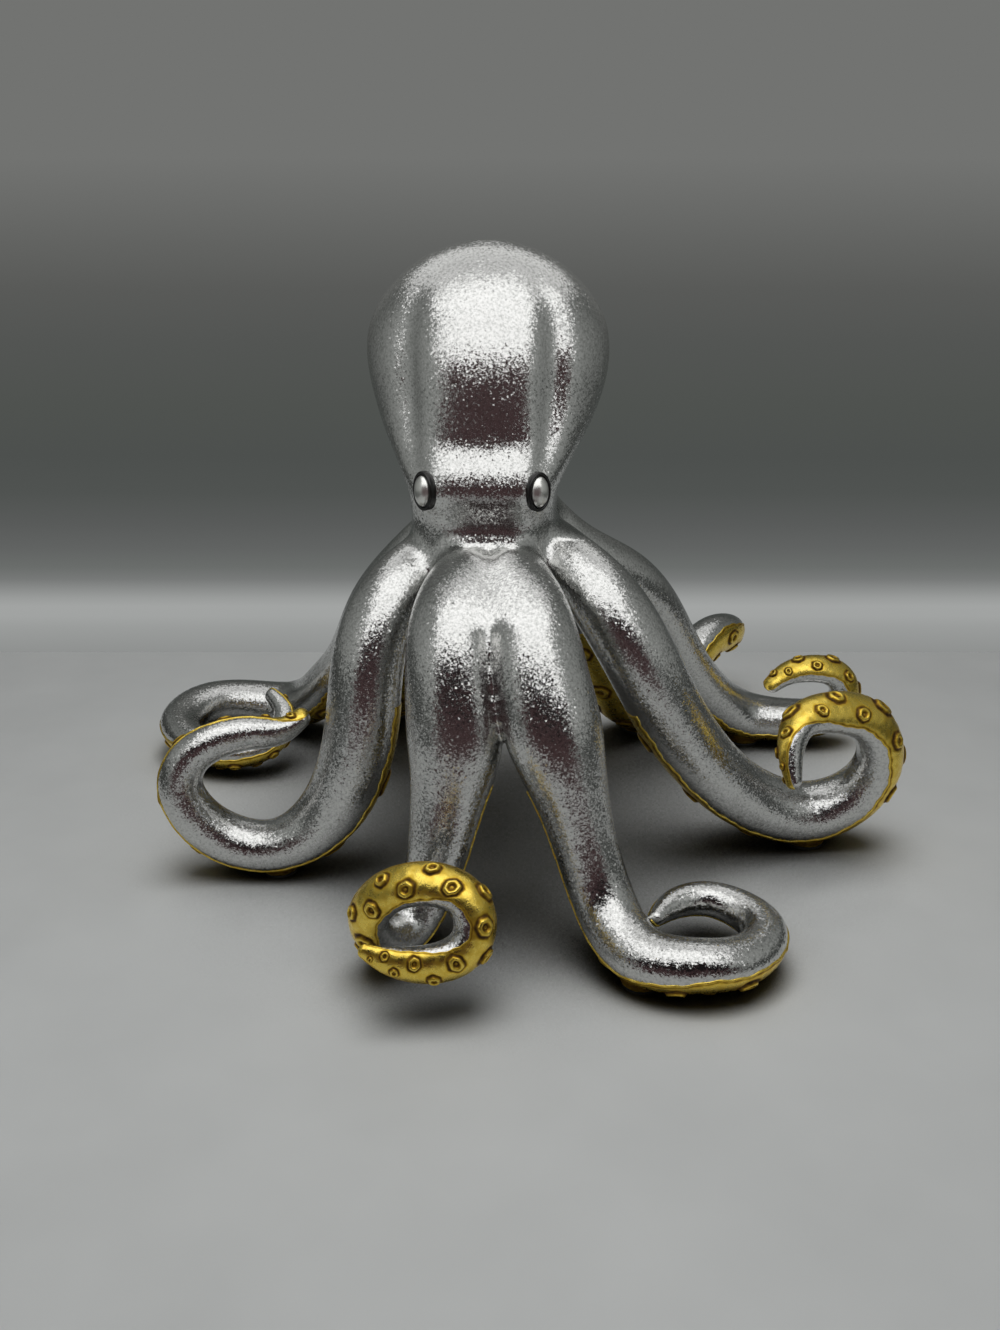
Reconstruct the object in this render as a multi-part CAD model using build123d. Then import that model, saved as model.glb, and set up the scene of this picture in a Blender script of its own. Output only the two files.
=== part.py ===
from build123d import *
import math
import os
import numpy as np

# Octopus figurine: a domed head on eight arms that splay out, touch down and curl up.
# Millimetres, +Z up, standing on the table. X is to the viewer's right, the face looks along -Y.
# The body is one casting. Each arm is a casting of its own, glued to a stub of the body with a
# dowel in the joint, and carries a sucker face along its underside.

# Head and crown
HEAD_HEIGHT = 101.0          # from the neck to the top of the head
HEAD_WIDTH = 80.6
HEAD_DEPTH = 80.6
HEAD_TURN = 4.5              # degrees, the face looks a little to the viewer's left
NECK_HEIGHT = 104.0          # from the table to the neck
CROWN_HEIGHT = 24.0          # web between the roots of the arms, below the neck
CROWN_WIDTH = 74.0

# Arms
ARM_REACH = 150.0            # the table places of the arms are shares of this
ARM_RISE = 100.0             # their heights above where they would rest are shares of this
ARM_GIRTH = 30.0             # their widths are shares of this
JOINT_GAP = 0.1              # glue line between an arm and its stub
FACE_GAP = 0.1               # paint and glue line between an arm and its sucker face
FOOT_DEPTH = 1.2             # how far the flat foot stands below the sucker face
DOWEL_DIAMETER = 6.0
DOWEL_LENGTH = 16.0
DOWEL_FIT = 0.1              # clearance round a dowel and at its ends

# Suckers
SUCKER_HEIGHT = 0.9

# Felt pads
PAD_THICKNESS = 1.0
PAD_RIM = 0.5                # how far the foot stands out beyond its pad

# Eyes
EYE_WIDTH = 9.2
EYE_HEIGHT = 12.6
EYE_RIM = 1.1                # width of the dark ring round the dome
EYE_RING_PROUD = 0.9
EYE_DOME_PROUD = 2.8
EYE_SOCKET_DEPTH = 3.4
EYE_FIT = 0.1
EYE_LEVEL = 130.4            # height of the eyes above the table
EYE_ANGLES = {-1: 33.0, 1: 39.5}     # degrees round the section to the left and right eye
EYE_FACING = 42.0            # degrees from the middle of the face to where an eye looks

# Section of an arm, as shares of its half width
BACK_SHARE = 0.95            # height of the rounded back
EDGE_SHARE = 0.30            # depth of the straight edge where the sucker face begins
FACE_SHARE = 0.78            # depth of the sucker face
FLANK_SIDE_SHARE = 0.62      # the face's flank, as a share of its half width
FLANK_DEPTH_SHARE = 0.64     # and of its thickness
SHOULDER_ANGLE = 50.0        # degrees above the width where the back's side arcs end

# Suckers and feet, as shares of the arm's half width where they sit
SUCKER_RADIUS_SHARE = 0.35
SUCKER_SECOND_SHARE = 0.80   # size of the suckers of the second row, beside the first
SUCKER_SIDE_SHARE = 0.42     # how far each of the two rows lies from the middle
SUCKER_PITCH_SHARE = 0.95
SUCKER_SINK_SHARE = 0.20     # how deep a sucker is rooted in its face
SUCKER_TILT_SHARE = 0.55     # how far a sucker leans outward
FOOT_RADIUS_SHARE = 0.62

# Section of a sucker, as shares of its radius or height
SUCKER_RIM_SHARE = 0.86
SUCKER_LIP_SHARE = 0.52
SUCKER_PIT_SHARE = 0.30
SUCKER_FLOOR_SHARE = 0.30
FOOT_TOP_SHARE = 0.7         # radius of the top of a foot, as a share of its bottom
FOOT_ROOT_SHARE = 0.5        # how far a foot is rooted, as a share of the face's thickness

# Each row: x and y in shares of ARM_REACH, rise in shares of ARM_RISE, girth in shares of
# ARM_GIRTH, and the turn of the sucker face about the arm in degrees.
ARM_SHARES = {
    "front_left": [
        (-0.033, -0.100, 0.960, 0.63, 0),
        (-0.050, -0.263, 0.920, 0.72, 0),
        (-0.070, -0.430, 0.815, 0.91, 0),
        (-0.069, -0.484, 0.653, 0.98, 0),
        (-0.062, -0.512, 0.479, 1.02, 0),
        (-0.077, -0.538, 0.341, 0.82, 0),
        (-0.097, -0.568, 0.206, 0.67, 0),
        (-0.123, -0.590, 0.086, 0.57, 0),
        (-0.167, -0.643, 0.000, 0.52, 0),
        (-0.213, -0.707, 0.050, 0.46, -6),
        (-0.223, -0.743, 0.160, 0.42, -14),
        (-0.183, -0.761, 0.253, 0.41, -26),
        (-0.133, -0.773, 0.290, 0.41, -38),
        (-0.077, -0.783, 0.292, 0.41, -54),
        (-0.034, -0.797, 0.261, 0.42, -68),
        (-0.017, -0.813, 0.200, 0.43, -74),
        (-0.034, -0.831, 0.139, 0.42, -68),
        (-0.077, -0.847, 0.116, 0.39, -56),
        (-0.130, -0.857, 0.126, 0.33, -46),
        (-0.180, -0.863, 0.158, 0.24, -38),
        (-0.220, -0.867, 0.204, 0.12, -30),
    ],
    "front_right": [
        (0.036, -0.100, 0.960, 0.63, 0),
        (0.061, -0.276, 0.922, 0.73, 0),
        (0.089, -0.448, 0.822, 0.91, 0),
        (0.108, -0.508, 0.665, 1.01, 0),
        (0.136, -0.550, 0.507, 1.00, 0),
        (0.169, -0.580, 0.370, 0.78, 0),
        (0.203, -0.606, 0.208, 0.67, 0),
        (0.240, -0.652, 0.068, 0.65, 0),
        (0.300, -0.743, 0.000, 0.63, -4),
        (0.407, -0.783, 0.007, 0.59, -24),
        (0.507, -0.750, 0.009, 0.54, -32),
        (0.550, -0.677, 0.033, 0.47, -28),
        (0.513, -0.603, 0.056, 0.40, -20),
        (0.450, -0.577, 0.071, 0.36, -20),
        (0.377, -0.607, 0.084, 0.29, -20),
        (0.337, -0.657, 0.099, 0.16, -20),
    ],
    "left": [
        (-0.067, -0.053, 1.044, 0.63, -25),
        (-0.132, -0.126, 0.950, 0.68, -25),
        (-0.212, -0.211, 0.813, 0.83, -25),
        (-0.257, -0.263, 0.623, 0.89, -25),
        (-0.273, -0.284, 0.425, 0.91, -25),
        (-0.305, -0.292, 0.236, 0.88, -22),
        (-0.373, -0.293, 0.077, 0.78, -20),
        (-0.480, -0.307, 0.000, 0.65, -16),
        (-0.593, -0.310, 0.032, 0.61, -20),
        (-0.670, -0.320, 0.158, 0.55, -30),
        (-0.689, -0.315, 0.263, 0.51, -38),
        (-0.663, -0.303, 0.352, 0.48, -44),
        (-0.603, -0.283, 0.403, 0.45, -45),
        (-0.537, -0.260, 0.418, 0.41, -42),
        (-0.473, -0.243, 0.423, 0.35, -25),
        (-0.423, -0.227, 0.475, 0.24, 30),
    ],
    "right": [
        (0.080, -0.053, 1.054, 0.63, 28),
        (0.149, -0.126, 0.976, 0.67, 28),
        (0.245, -0.220, 0.820, 0.88, 28),
        (0.323, -0.258, 0.634, 0.93, 28),
        (0.396, -0.251, 0.434, 0.91, 28),
        (0.499, -0.225, 0.221, 0.86, 25),
        (0.637, -0.180, 0.045, 0.83, 20),
        (0.760, -0.167, 0.000, 0.79, 12),
        (0.883, -0.180, 0.112, 0.69, 0),
        (0.913, -0.200, 0.281, 0.61, -6),
        (0.867, -0.220, 0.417, 0.55, -8),
        (0.773, -0.247, 0.474, 0.48, -4),
        (0.693, -0.280, 0.466, 0.40, 30),
        (0.667, -0.320, 0.396, 0.32, 75),
        (0.670, -0.360, 0.328, 0.20, 85),
    ],
    "rear_left": [
        (-0.093, 0.013, 1.038, 0.60, 0),
        (-0.160, 0.047, 0.925, 0.63, 0),
        (-0.283, 0.173, 0.638, 0.76, 0),
        (-0.380, 0.333, 0.318, 0.77, 0),
        (-0.463, 0.433, 0.134, 0.80, 0),
        (-0.527, 0.493, 0.035, 0.79, 0),
        (-0.600, 0.527, 0.000, 0.75, 0),
        (-0.693, 0.530, 0.022, 0.68, -5),
        (-0.820, 0.480, 0.052, 0.63, -18),
        (-0.873, 0.353, 0.042, 0.58, -28),
        (-0.793, 0.240, 0.019, 0.51, -32),
        (-0.667, 0.207, 0.017, 0.45, -32),
        (-0.583, 0.240, 0.071, 0.40, -30),
        (-0.567, 0.293, 0.159, 0.33, -30),
        (-0.607, 0.327, 0.233, 0.21, -30),
    ],
    "rear_right": [
        (0.120, 0.013, 1.058, 0.60, 0),
        (0.193, 0.047, 0.946, 0.61, 0),
        (0.340, 0.140, 0.750, 0.75, 0),
        (0.469, 0.273, 0.450, 0.80, 0),
        (0.593, 0.380, 0.154, 0.80, 0),
        (0.733, 0.440, 0.000, 0.77, 0),
        (0.875, 0.420, 0.007, 0.66, 0),
        (0.967, 0.420, 0.042, 0.59, -8),
        (1.007, 0.423, 0.107, 0.51, -18),
        (1.009, 0.427, 0.194, 0.46, -26),
        (0.970, 0.427, 0.254, 0.43, -30),
        (0.913, 0.427, 0.270, 0.41, -30),
        (0.850, 0.427, 0.257, 0.35, -30),
        (0.797, 0.413, 0.220, 0.24, -30),
    ],
    "back_right": [
        (0.060, 0.080, 1.038, 0.60, 0),
        (0.113, 0.147, 0.932, 0.65, 0),
        (0.187, 0.253, 0.681, 0.83, 0),
        (0.260, 0.347, 0.420, 0.84, 0),
        (0.327, 0.417, 0.193, 0.81, 0),
        (0.373, 0.467, 0.059, 0.80, 0),
        (0.440, 0.520, 0.000, 0.78, -4),
        (0.520, 0.573, 0.041, 0.75, -20),
        (0.593, 0.630, 0.144, 0.72, -40),
        (0.673, 0.693, 0.245, 0.67, -56),
        (0.737, 0.773, 0.234, 0.59, -56),
        (0.730, 0.853, 0.190, 0.49, -40),
        (0.667, 0.913, 0.141, 0.40, -30),
        (0.593, 0.913, 0.102, 0.31, -20),
        (0.547, 0.867, 0.095, 0.20, -10),
    ],
    "back_left": [
        (-0.040, 0.080, 1.038, 0.60, 0),
        (-0.093, 0.147, 0.935, 0.63, 0),
        (-0.167, 0.253, 0.686, 0.79, 0),
        (-0.220, 0.373, 0.403, 0.81, 0),
        (-0.260, 0.473, 0.168, 0.77, 0),
        (-0.287, 0.547, 0.040, 0.73, 0),
        (-0.303, 0.627, 0.000, 0.69, 0),
        (-0.293, 0.713, 0.045, 0.63, 10),
        (-0.240, 0.780, 0.162, 0.56, 20),
        (-0.153, 0.787, 0.272, 0.48, 26),
        (-0.080, 0.747, 0.260, 0.41, 30),
        (-0.067, 0.693, 0.179, 0.33, 30),
        (-0.107, 0.660, 0.123, 0.21, 30),
    ],
}
# The row of each arm where its glued joint lies: the front arms stay in the casting for longer.
JOINT_ROW = {"front_left": 5, "front_right": 5, "left": 4, "right": 4,
             "rear_left": 3, "rear_right": 3, "back_right": 3, "back_left": 3}
STEPS_PER_ROW = 40           # stations worked out between two rows
SECTION_PITCH_SHARE = 0.5    # spacing of the loft's sections, as a share of the half width
STUB_LEAD_SHARE = 0.35       # the sucker face starts this share of a row above the joint

# Outline of the head, a row for each level: its height, half width, how far forward the middle
# of the section lies, the reach in front of that middle and behind it, all as shares, then the
# squareness of the section and the depth share of the grooves beside the forehead
HEAD_LEVEL_SHARES = [
    (0.000, 0.645, 0.199, 0.794, 0.819, 2.50, 0.000),
    (0.070, 0.618, 0.248, 0.670, 0.844, 2.90, 0.000),
    (0.110, 0.605, 0.273, 0.628, 0.876, 3.10, 0.000),
    (0.150, 0.598, 0.298, 0.618, 0.918, 3.20, 0.000),
    (0.190, 0.598, 0.310, 0.640, 0.955, 3.30, 0.006),
    (0.230, 0.610, 0.310, 0.680, 0.993, 3.30, 0.009),
    (0.265, 0.635, 0.298, 0.705, 1.022, 3.20, 0.012),
    (0.300, 0.677, 0.273, 0.717, 1.042, 3.00, 0.022),
    (0.335, 0.725, 0.236, 0.725, 1.055, 2.80, 0.031),
    (0.365, 0.767, 0.199, 0.727, 1.062, 2.65, 0.040),
    (0.400, 0.816, 0.149, 0.749, 1.055, 2.50, 0.050),
    (0.460, 0.888, 0.074, 0.816, 1.047, 2.25, 0.065),
    (0.540, 0.960, 0.000, 0.893, 1.032, 2.05, 0.074),
    (0.660, 1.000, 0.000, 0.868, 1.067, 2.00, 0.074),
    (0.760, 0.955, 0.000, 0.794, 1.032, 2.00, 0.056),
    (0.850, 0.814, 0.000, 0.670, 0.893, 2.00, 0.031),
    (0.920, 0.625, 0.000, 0.519, 0.695, 2.00, 0.012),
    (0.970, 0.400, 0.000, 0.347, 0.434, 2.00, 0.000),
    (1.000, 0.139, 0.000, 0.139, 0.149, 2.00, 0.000),
]
HEAD_GROOVE_ANGLE = 37.0     # degrees from the middle of the face to each groove
HEAD_GROOVE_SPREAD = 8.5
HEAD_SECTION_COUNT = 30
# Ends and middles of the arcs of a head section, degrees from the middle of the face
HEAD_ARC_ANGLES = [-28, 0, 28, 37, 46, 57, 68, 90, 112, 134, 156, 180,
                   -156, -134, -112, -90, -68, -57, -46, -37, -28]

# Web of the crown: height share below the neck, width share
CROWN_LEVEL_SHARES = [(-0.25, 0.55), (0.10, 0.64), (0.45, 0.78), (0.80, 0.74), (1.00, 0.52)]


def rest_row(name):
    """The first row of an arm that rests on the table."""
    return [row[2] for row in ARM_SHARES[name]].index(0.0)


def rest_height(radius):
    """Height of an arm's centre line where its foot stands on its felt pad."""
    return PAD_THICKNESS + FOOT_DEPTH + FACE_SHARE * radius


def arm_rows(name):
    """The rows of an arm in real sizes: x, y, z, half width and turn."""
    rows = []
    for x_share, y_share, rise_share, girth_share, turn in ARM_SHARES[name]:
        radius = girth_share * ARM_GIRTH / 2
        z = rest_height(radius) + rise_share * ARM_RISE
        rows.append((x_share * ARM_REACH, y_share * ARM_REACH, z, radius, turn))
    return np.array(rows)


def smooth(rows):
    """Stations on a natural cubic spline through the rows, STEPS_PER_ROW to a row."""
    steps = np.linalg.norm(np.diff(rows[:, :3], axis=0), axis=1)
    count = len(rows)
    matrix = np.eye(count)
    right_side = np.zeros_like(rows)
    slopes = np.diff(rows, axis=0) / steps[:, None]
    for i in range(1, count - 1):
        matrix[i, i - 1:i + 2] = steps[i - 1], 2 * (steps[i - 1] + steps[i]), steps[i]
        right_side[i] = 6 * (slopes[i] - slopes[i - 1])
    bend = np.linalg.solve(matrix, right_side)
    stations = []
    for i, step in enumerate(steps):
        last = i == count - 2
        for share in np.linspace(0, 1, STEPS_PER_ROW + 1)[:None if last else -1]:
            before, after = step * (1 - share), step * share
            cubic = (bend[i] * before ** 3 + bend[i + 1] * after ** 3) / (6 * step)
            line = (rows[i] / step - bend[i] * step / 6) * before
            line += (rows[i + 1] / step - bend[i + 1] * step / 6) * after
            stations.append(cubic + line)
    return np.array(stations)


def unit(vector):
    return vector / np.linalg.norm(vector)


def arm_frames(name):
    """Centre, direction, face direction, width direction and half width of each station.

    The face looks straight down where the arm rests, is carried along the arm from there
    without twisting, and then takes the turn that its row gives.
    """
    stations = smooth(arm_rows(name))
    centres, radii, turns = stations[:, :3], stations[:, 3], np.radians(stations[:, 4])
    along = np.array([unit(v) for v in np.gradient(centres, axis=0)])
    rest = rest_row(name) * STEPS_PER_ROW
    faces = np.zeros_like(centres)
    down = np.array([0, 0, -1])
    faces[rest] = unit(down - along[rest] * (down @ along[rest]))
    for order in (range(rest + 1, len(centres)), range(rest - 1, -1, -1)):
        carried = faces[rest]
        for i in order:
            carried = unit(carried - along[i] * (carried @ along[i]))
            faces[i] = carried
    frames = []
    for centre, direction, face, radius, turn in zip(centres, along, faces, radii, turns):
        face = face * math.cos(turn) + np.cross(direction, face) * math.sin(turn)
        frames.append((centre, direction, face, np.cross(direction, face), radius))
    return frames


def sections_between(frames, first, last):
    """The frames from first to last that a loft takes, spaced by the arm's half width."""
    centres = np.array([frame[0] for frame in frames[first:last + 1]])
    radii = np.array([frame[4] for frame in frames[first:last + 1]])
    steps = np.linalg.norm(np.diff(centres, axis=0), axis=1) / radii[1:]
    reach = np.concatenate([[0], np.cumsum(steps)])
    count = math.ceil(reach[-1] / SECTION_PITCH_SHARE)
    wanted = np.linspace(0, reach[-1], count + 1)
    picks = [int(np.argmin(abs(reach - place))) for place in wanted]
    return [frames[first + pick] for pick in picks]


def point_on(frame, side, depth, shift=0):
    """A point of a section: side along the width, depth towards the sucker face."""
    centre, direction, face, width, _ = frame
    return Vector(*(centre + width * side + face * depth + direction * shift))


def closed_wire(legs):
    """A wire of straight legs, two points each, and arcs, three points each."""
    edges = [Line(*leg).edge() if len(leg) == 2 else ThreePointArc(*leg).edge() for leg in legs]
    return Wire(edges)


def back_wire(frame, shift=0):
    """Section of the arm's casting: a rounded back closed by a straight edge."""
    radius = frame[4]
    edge_side = math.sqrt(1 - (EDGE_SHARE / FACE_SHARE) ** 2)

    def on_back(angle):
        side, depth = math.cos(math.radians(angle)), -math.sin(math.radians(angle))
        depth_share = BACK_SHARE if depth < 0 else FACE_SHARE
        return point_on(frame, side * radius, depth * depth_share * radius, shift)

    edge_angle = -math.degrees(math.asin(EDGE_SHARE / FACE_SHARE))
    middle_angle = (edge_angle + SHOULDER_ANGLE) / 2
    right = point_on(frame, edge_side * radius, EDGE_SHARE * radius, shift)
    left = point_on(frame, -edge_side * radius, EDGE_SHARE * radius, shift)
    return closed_wire([
        (right, on_back(middle_angle), on_back(SHOULDER_ANGLE)),
        (on_back(SHOULDER_ANGLE), on_back(90), on_back(180 - SHOULDER_ANGLE)),
        (on_back(180 - SHOULDER_ANGLE), on_back(180 - middle_angle), left),
        (left, right),
    ])


def face_wire(frame, shift=0):
    """Section of the sucker face: a straight edge under the arm and a bulge below it."""
    radius = frame[4]
    edge_side = radius * math.sqrt(1 - (EDGE_SHARE / FACE_SHARE) ** 2)
    top = EDGE_SHARE * radius + FACE_GAP
    bottom = FACE_SHARE * radius
    flank_side = edge_side * FLANK_SIDE_SHARE
    flank_depth = top + (bottom - top) * FLANK_DEPTH_SHARE
    right, left = point_on(frame, edge_side, top, shift), point_on(frame, -edge_side, top, shift)
    middle = point_on(frame, 0, bottom, shift)
    return closed_wire([
        (right, point_on(frame, flank_side, flank_depth, shift), middle),
        (middle, point_on(frame, -flank_side, flank_depth, shift), left),
        (left, right),
    ])


def loft_arm(frames, wire, first, last, shift=0):
    """A solid along an arm; shift moves its first section on along the arm."""
    sections = sections_between(frames, first, last)
    wires = [wire(frame, shift if i == 0 else 0) for i, frame in enumerate(sections)]
    return Solid.make_loft(wires)


def frame_plane(frame, shift=0):
    """Plane across the arm, its Z along the arm and its Y towards the back."""
    centre, direction, face, width, _ = frame
    return Plane(origin=Vector(*(centre + direction * shift)), x_dir=Vector(*width),
                 z_dir=Vector(*direction))


def dowel_of(frame, fit=0):
    """A dowel across the glued joint, or with a fit the bore for it."""
    depth = DOWEL_LENGTH + 2 * fit
    blank = Cylinder(DOWEL_DIAMETER / 2 + fit, depth)
    return frame_plane(frame, JOINT_GAP / 2) * blank


def sucker(radius, sink):
    """A raised ring with a dimple, rooted in the face it stands on."""
    rim, lip, pit = (radius * share for share in (SUCKER_RIM_SHARE, SUCKER_LIP_SHARE,
                                                  SUCKER_PIT_SHARE))
    floor = SUCKER_HEIGHT * SUCKER_FLOOR_SHARE
    profile = Polyline((0, -sink), (radius, -sink), (radius, 0), (rim, SUCKER_HEIGHT),
                       (lip, SUCKER_HEIGHT), (pit, floor), (0, floor), close=True)
    return revolve(Plane.XZ * make_face(profile), axis=Axis.Z)


def place_suckers(frames, first, last, foot_centre, foot_radius):
    """Two staggered rows of suckers along a face, none of them on the foot."""
    suckers = []
    travelled, wanted, side = 0, frames[first][4] * SUCKER_PITCH_SHARE, 1
    for before, frame in zip(frames[first:last], frames[first + 1:last + 1]):
        travelled += np.linalg.norm(frame[0] - before[0])
        if travelled < wanted:
            continue
        centre, direction, face, width, radius = frame
        wanted = travelled + radius * SUCKER_PITCH_SHARE
        side = -side
        across = side * SUCKER_SIDE_SHARE
        depth = EDGE_SHARE + (FACE_SHARE - EDGE_SHARE) * math.sqrt(1 - across ** 2)
        place = centre + width * across * radius + face * depth * radius
        outward = unit(face + width * across * SUCKER_TILT_SHARE)
        size = radius * SUCKER_RADIUS_SHARE * (1 if side > 0 else SUCKER_SECOND_SHARE)
        if np.linalg.norm(place[:2] - foot_centre[:2]) > foot_radius + size:
            plane = Plane(origin=Vector(*place), x_dir=Vector(*direction), z_dir=Vector(*outward))
            suckers.append(plane * sucker(size, radius * SUCKER_SINK_SHARE))
    return suckers


def make_foot(frame, foot_radius):
    """The flat foot under the sucker face where the arm rests."""
    centre, _, _, _, radius = frame
    height = FOOT_DEPTH + (FACE_SHARE - EDGE_SHARE) * radius * FOOT_ROOT_SHARE
    place = Location((centre[0], centre[1], PAD_THICKNESS + height / 2))
    return place * Cone(foot_radius, foot_radius * FOOT_TOP_SHARE, height)


def make_arm(name):
    """The arm's casting, sucker face, dowel and felt pad, and its stub and bore in the body."""
    frames = arm_frames(name)
    joint, tip = JOINT_ROW[name] * STEPS_PER_ROW, len(frames) - 1
    face_start = joint - round(STUB_LEAD_SHARE * STEPS_PER_ROW)
    rest = rest_row(name) * STEPS_PER_ROW
    foot_centre, foot_radius = frames[rest][0], frames[rest][4] * FOOT_RADIUS_SHARE
    bore = dowel_of(frames[joint], DOWEL_FIT)
    casting = loft_arm(frames, back_wire, joint, tip, JOINT_GAP) - bore
    face = loft_arm(frames, face_wire, face_start, tip)
    suckers = place_suckers(frames, face_start, tip, foot_centre, foot_radius)
    face = face.fuse(make_foot(frames[rest], foot_radius), *suckers)
    pad_place = Location((foot_centre[0], foot_centre[1], PAD_THICKNESS / 2))
    pad = pad_place * Cylinder(foot_radius - PAD_RIM, PAD_THICKNESS)
    stub = loft_arm(frames, back_wire, 0, joint)
    return casting, face, dowel_of(frames[joint]), pad, stub, bore


def head_levels():
    """Levels of the head on a smooth outline through its rows, evenly spaced along it."""
    rows = np.array(HEAD_LEVEL_SHARES)
    outline = np.zeros((len(rows), 3))
    outline[:, 0] = rows[:, 1] * HEAD_WIDTH / 2
    outline[:, 1] = rows[:, 0] * HEAD_HEIGHT
    fine = smooth(np.column_stack([outline, rows]))
    steps = np.linalg.norm(np.diff(fine[:, :2], axis=0), axis=1)
    travel = np.concatenate([[0], np.cumsum(steps)])
    wanted = np.linspace(0, travel[-1], HEAD_SECTION_COUNT)
    return np.array([np.interp(wanted, travel, column) for column in fine[:, 3:].T]).T


def head_point(level, angle):
    """A point of the head at a level, at an angle in degrees from the middle of the face."""
    height, wide, forward, front, back, squareness, groove = level
    sine, cosine = math.sin(math.radians(angle)), math.cos(math.radians(angle))
    offset = (abs(angle) - HEAD_GROOVE_ANGLE) / HEAD_GROOVE_SPREAD
    out = 1 - max(0, groove) * math.exp(-offset ** 2)
    power = 2 / squareness
    x = math.copysign(abs(sine) ** power, sine) * wide * out
    reach = front if cosine > 0 else back
    y = -math.copysign(abs(cosine) ** power, cosine) * reach * out - forward
    return Vector(x * HEAD_WIDTH / 2, y * HEAD_DEPTH / 2, NECK_HEIGHT + height * HEAD_HEIGHT)


def head_wire(level):
    """Section of the head: a flat forehead, a groove each side of it, lobes and a round back."""
    points = [head_point(level, angle) for angle in HEAD_ARC_ANGLES]
    points[-1] = points[0]
    return closed_wire([tuple(points[i:i + 3]) for i in range(0, len(points) - 2, 2)])


def make_head():
    head = Solid.make_loft([head_wire(level) for level in head_levels()])
    return Rotation(0, 0, -HEAD_TURN) * head


def make_crown():
    """The web that fills the middle of the crown between the roots of the arms."""
    wires = []
    for height_share, width_share in CROWN_LEVEL_SHARES:
        level = Plane((0, 0, NECK_HEIGHT - height_share * CROWN_HEIGHT))
        radius = CROWN_WIDTH / 2 * width_share
        corners = [level.from_local_coords((radius * math.cos(a), radius * math.sin(a)))
                   for a in np.radians(np.arange(0, 360, 45))]
        wires.append(closed_wire([(corners[i], corners[i + 1], corners[(i + 2) % 8])
                                  for i in range(0, 8, 2)]))
    return Solid.make_loft(wires)


def eye_frame(sign):
    """Plane of an eye on the side of the face, its Z outward and its Y up the face."""
    levels = head_levels()
    share = (EYE_LEVEL - NECK_HEIGHT) / HEAD_HEIGHT
    level = [np.interp(share, levels[:, 0], column) for column in levels.T]
    centre = Rotation(0, 0, -HEAD_TURN) * Pos(head_point(level, sign * EYE_ANGLES[sign]))
    azimuth = math.radians(sign * EYE_FACING - HEAD_TURN)
    out = Vector(math.sin(azimuth), -math.cos(azimuth), 0)
    across = Vector(-out.Y, out.X, 0)
    return Plane(origin=centre.position, x_dir=across, z_dir=out)


def make_eye(plane):
    """The dome and the dark ring of an eye, and the socket that they sit in."""
    wide, tall = EYE_WIDTH / 2, EYE_HEIGHT / 2
    bottom = -EYE_SOCKET_DEPTH + EYE_FIT

    def oval(shrink, low, high):
        face = Plane.XY.offset(low) * Ellipse(wide - shrink, tall - shrink)
        return extrude(face, high - low)

    socket = oval(-EYE_FIT, -EYE_SOCKET_DEPTH, EYE_SOCKET_DEPTH)
    ring = oval(0, bottom, EYE_RING_PROUD) - oval(EYE_RIM, bottom, EYE_RING_PROUD)
    dome_shrink = EYE_RIM + EYE_FIT
    dome_wide, dome_tall = wide - dome_shrink, tall - dome_shrink
    ball = scale(Sphere(1), by=(dome_wide, dome_tall, EYE_DOME_PROUD))
    dome = oval(dome_shrink, bottom, 0) + split(ball, bisect_by=Plane.XY, keep=Keep.TOP)
    return plane * dome, plane * ring, plane * socket


def one_solid(shape):
    """The single solid of a boolean's result."""
    solids = shape.solids()
    return max(solids, key=lambda solid: solid.volume)


def main():
    os.makedirs("parts", exist_ok=True)
    nodes = {}
    dowels, pads, stubs, bores = [], [], [], []
    for name in ARM_SHARES:
        casting, face, dowel, pad, stub, bore = make_arm(name)
        nodes["arm_" + name] = one_solid(casting)
        nodes["suckers_" + name] = one_solid(face)
        dowels.append(dowel)
        pads.append(pad)
        stubs.append(stub)
        bores.append(bore)
        print(name, "solids", len(casting.solids()), len(face.solids()), "lowest",
              round(casting.bounding_box().min.Z, 2), round(face.bounding_box().min.Z, 2))

    body = make_head().fuse(make_crown(), *stubs)
    body = body.cut(*bores)
    for side, sign in (("left", -1), ("right", 1)):
        dome, ring, socket = make_eye(eye_frame(sign))
        body = body - socket
        nodes["eye_" + side] = one_solid(dome)
        nodes["eye_ring_" + side] = one_solid(ring)
    print("body solids", len(body.solids()), "volume", round(body.volume))
    nodes["body"] = one_solid(body)
    groups = {"dowels": dowels, "felt_pads": pads}

    boxes = [solid.bounding_box() for solid in nodes.values()]
    boxes += [pad.bounding_box() for pad in pads]
    low = [min(getattr(box.min, axis) for box in boxes) for axis in "XYZ"]
    high = [max(getattr(box.max, axis) for box in boxes) for axis in "XYZ"]
    shift = Location((-(low[0] + high[0]) / 2, -(low[1] + high[1]) / 2, -low[2]))
    for name, solid in nodes.items():
        export_step(shift * solid, "parts/" + name + ".step")
    for name, members in groups.items():
        solids = [shift * one_solid(member) for member in members]
        export_step(Compound(solids), "parts/" + name + ".step")
    print("whole from", low, "to", high, "shift", shift.position)


main()
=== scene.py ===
# %% [markdown]
# # An octopus ornament, silver above and gold below
#
# The real thing is a cast resin octopus. Its domed head and the backs of its eight arms are
# covered in silver, and the undersides of the arms, with their ring suckers, are painted gold.
# The imported model gives the places and sizes of its pieces. Here each of them is made again
# with a surface fine enough to carry the reflections, and dressed in its finish.

# %% Load the imported model
import math
from contextlib import contextmanager
import bmesh
import bpy
import numpy as np
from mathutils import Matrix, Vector
from mathutils.kdtree import KDTree


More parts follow.
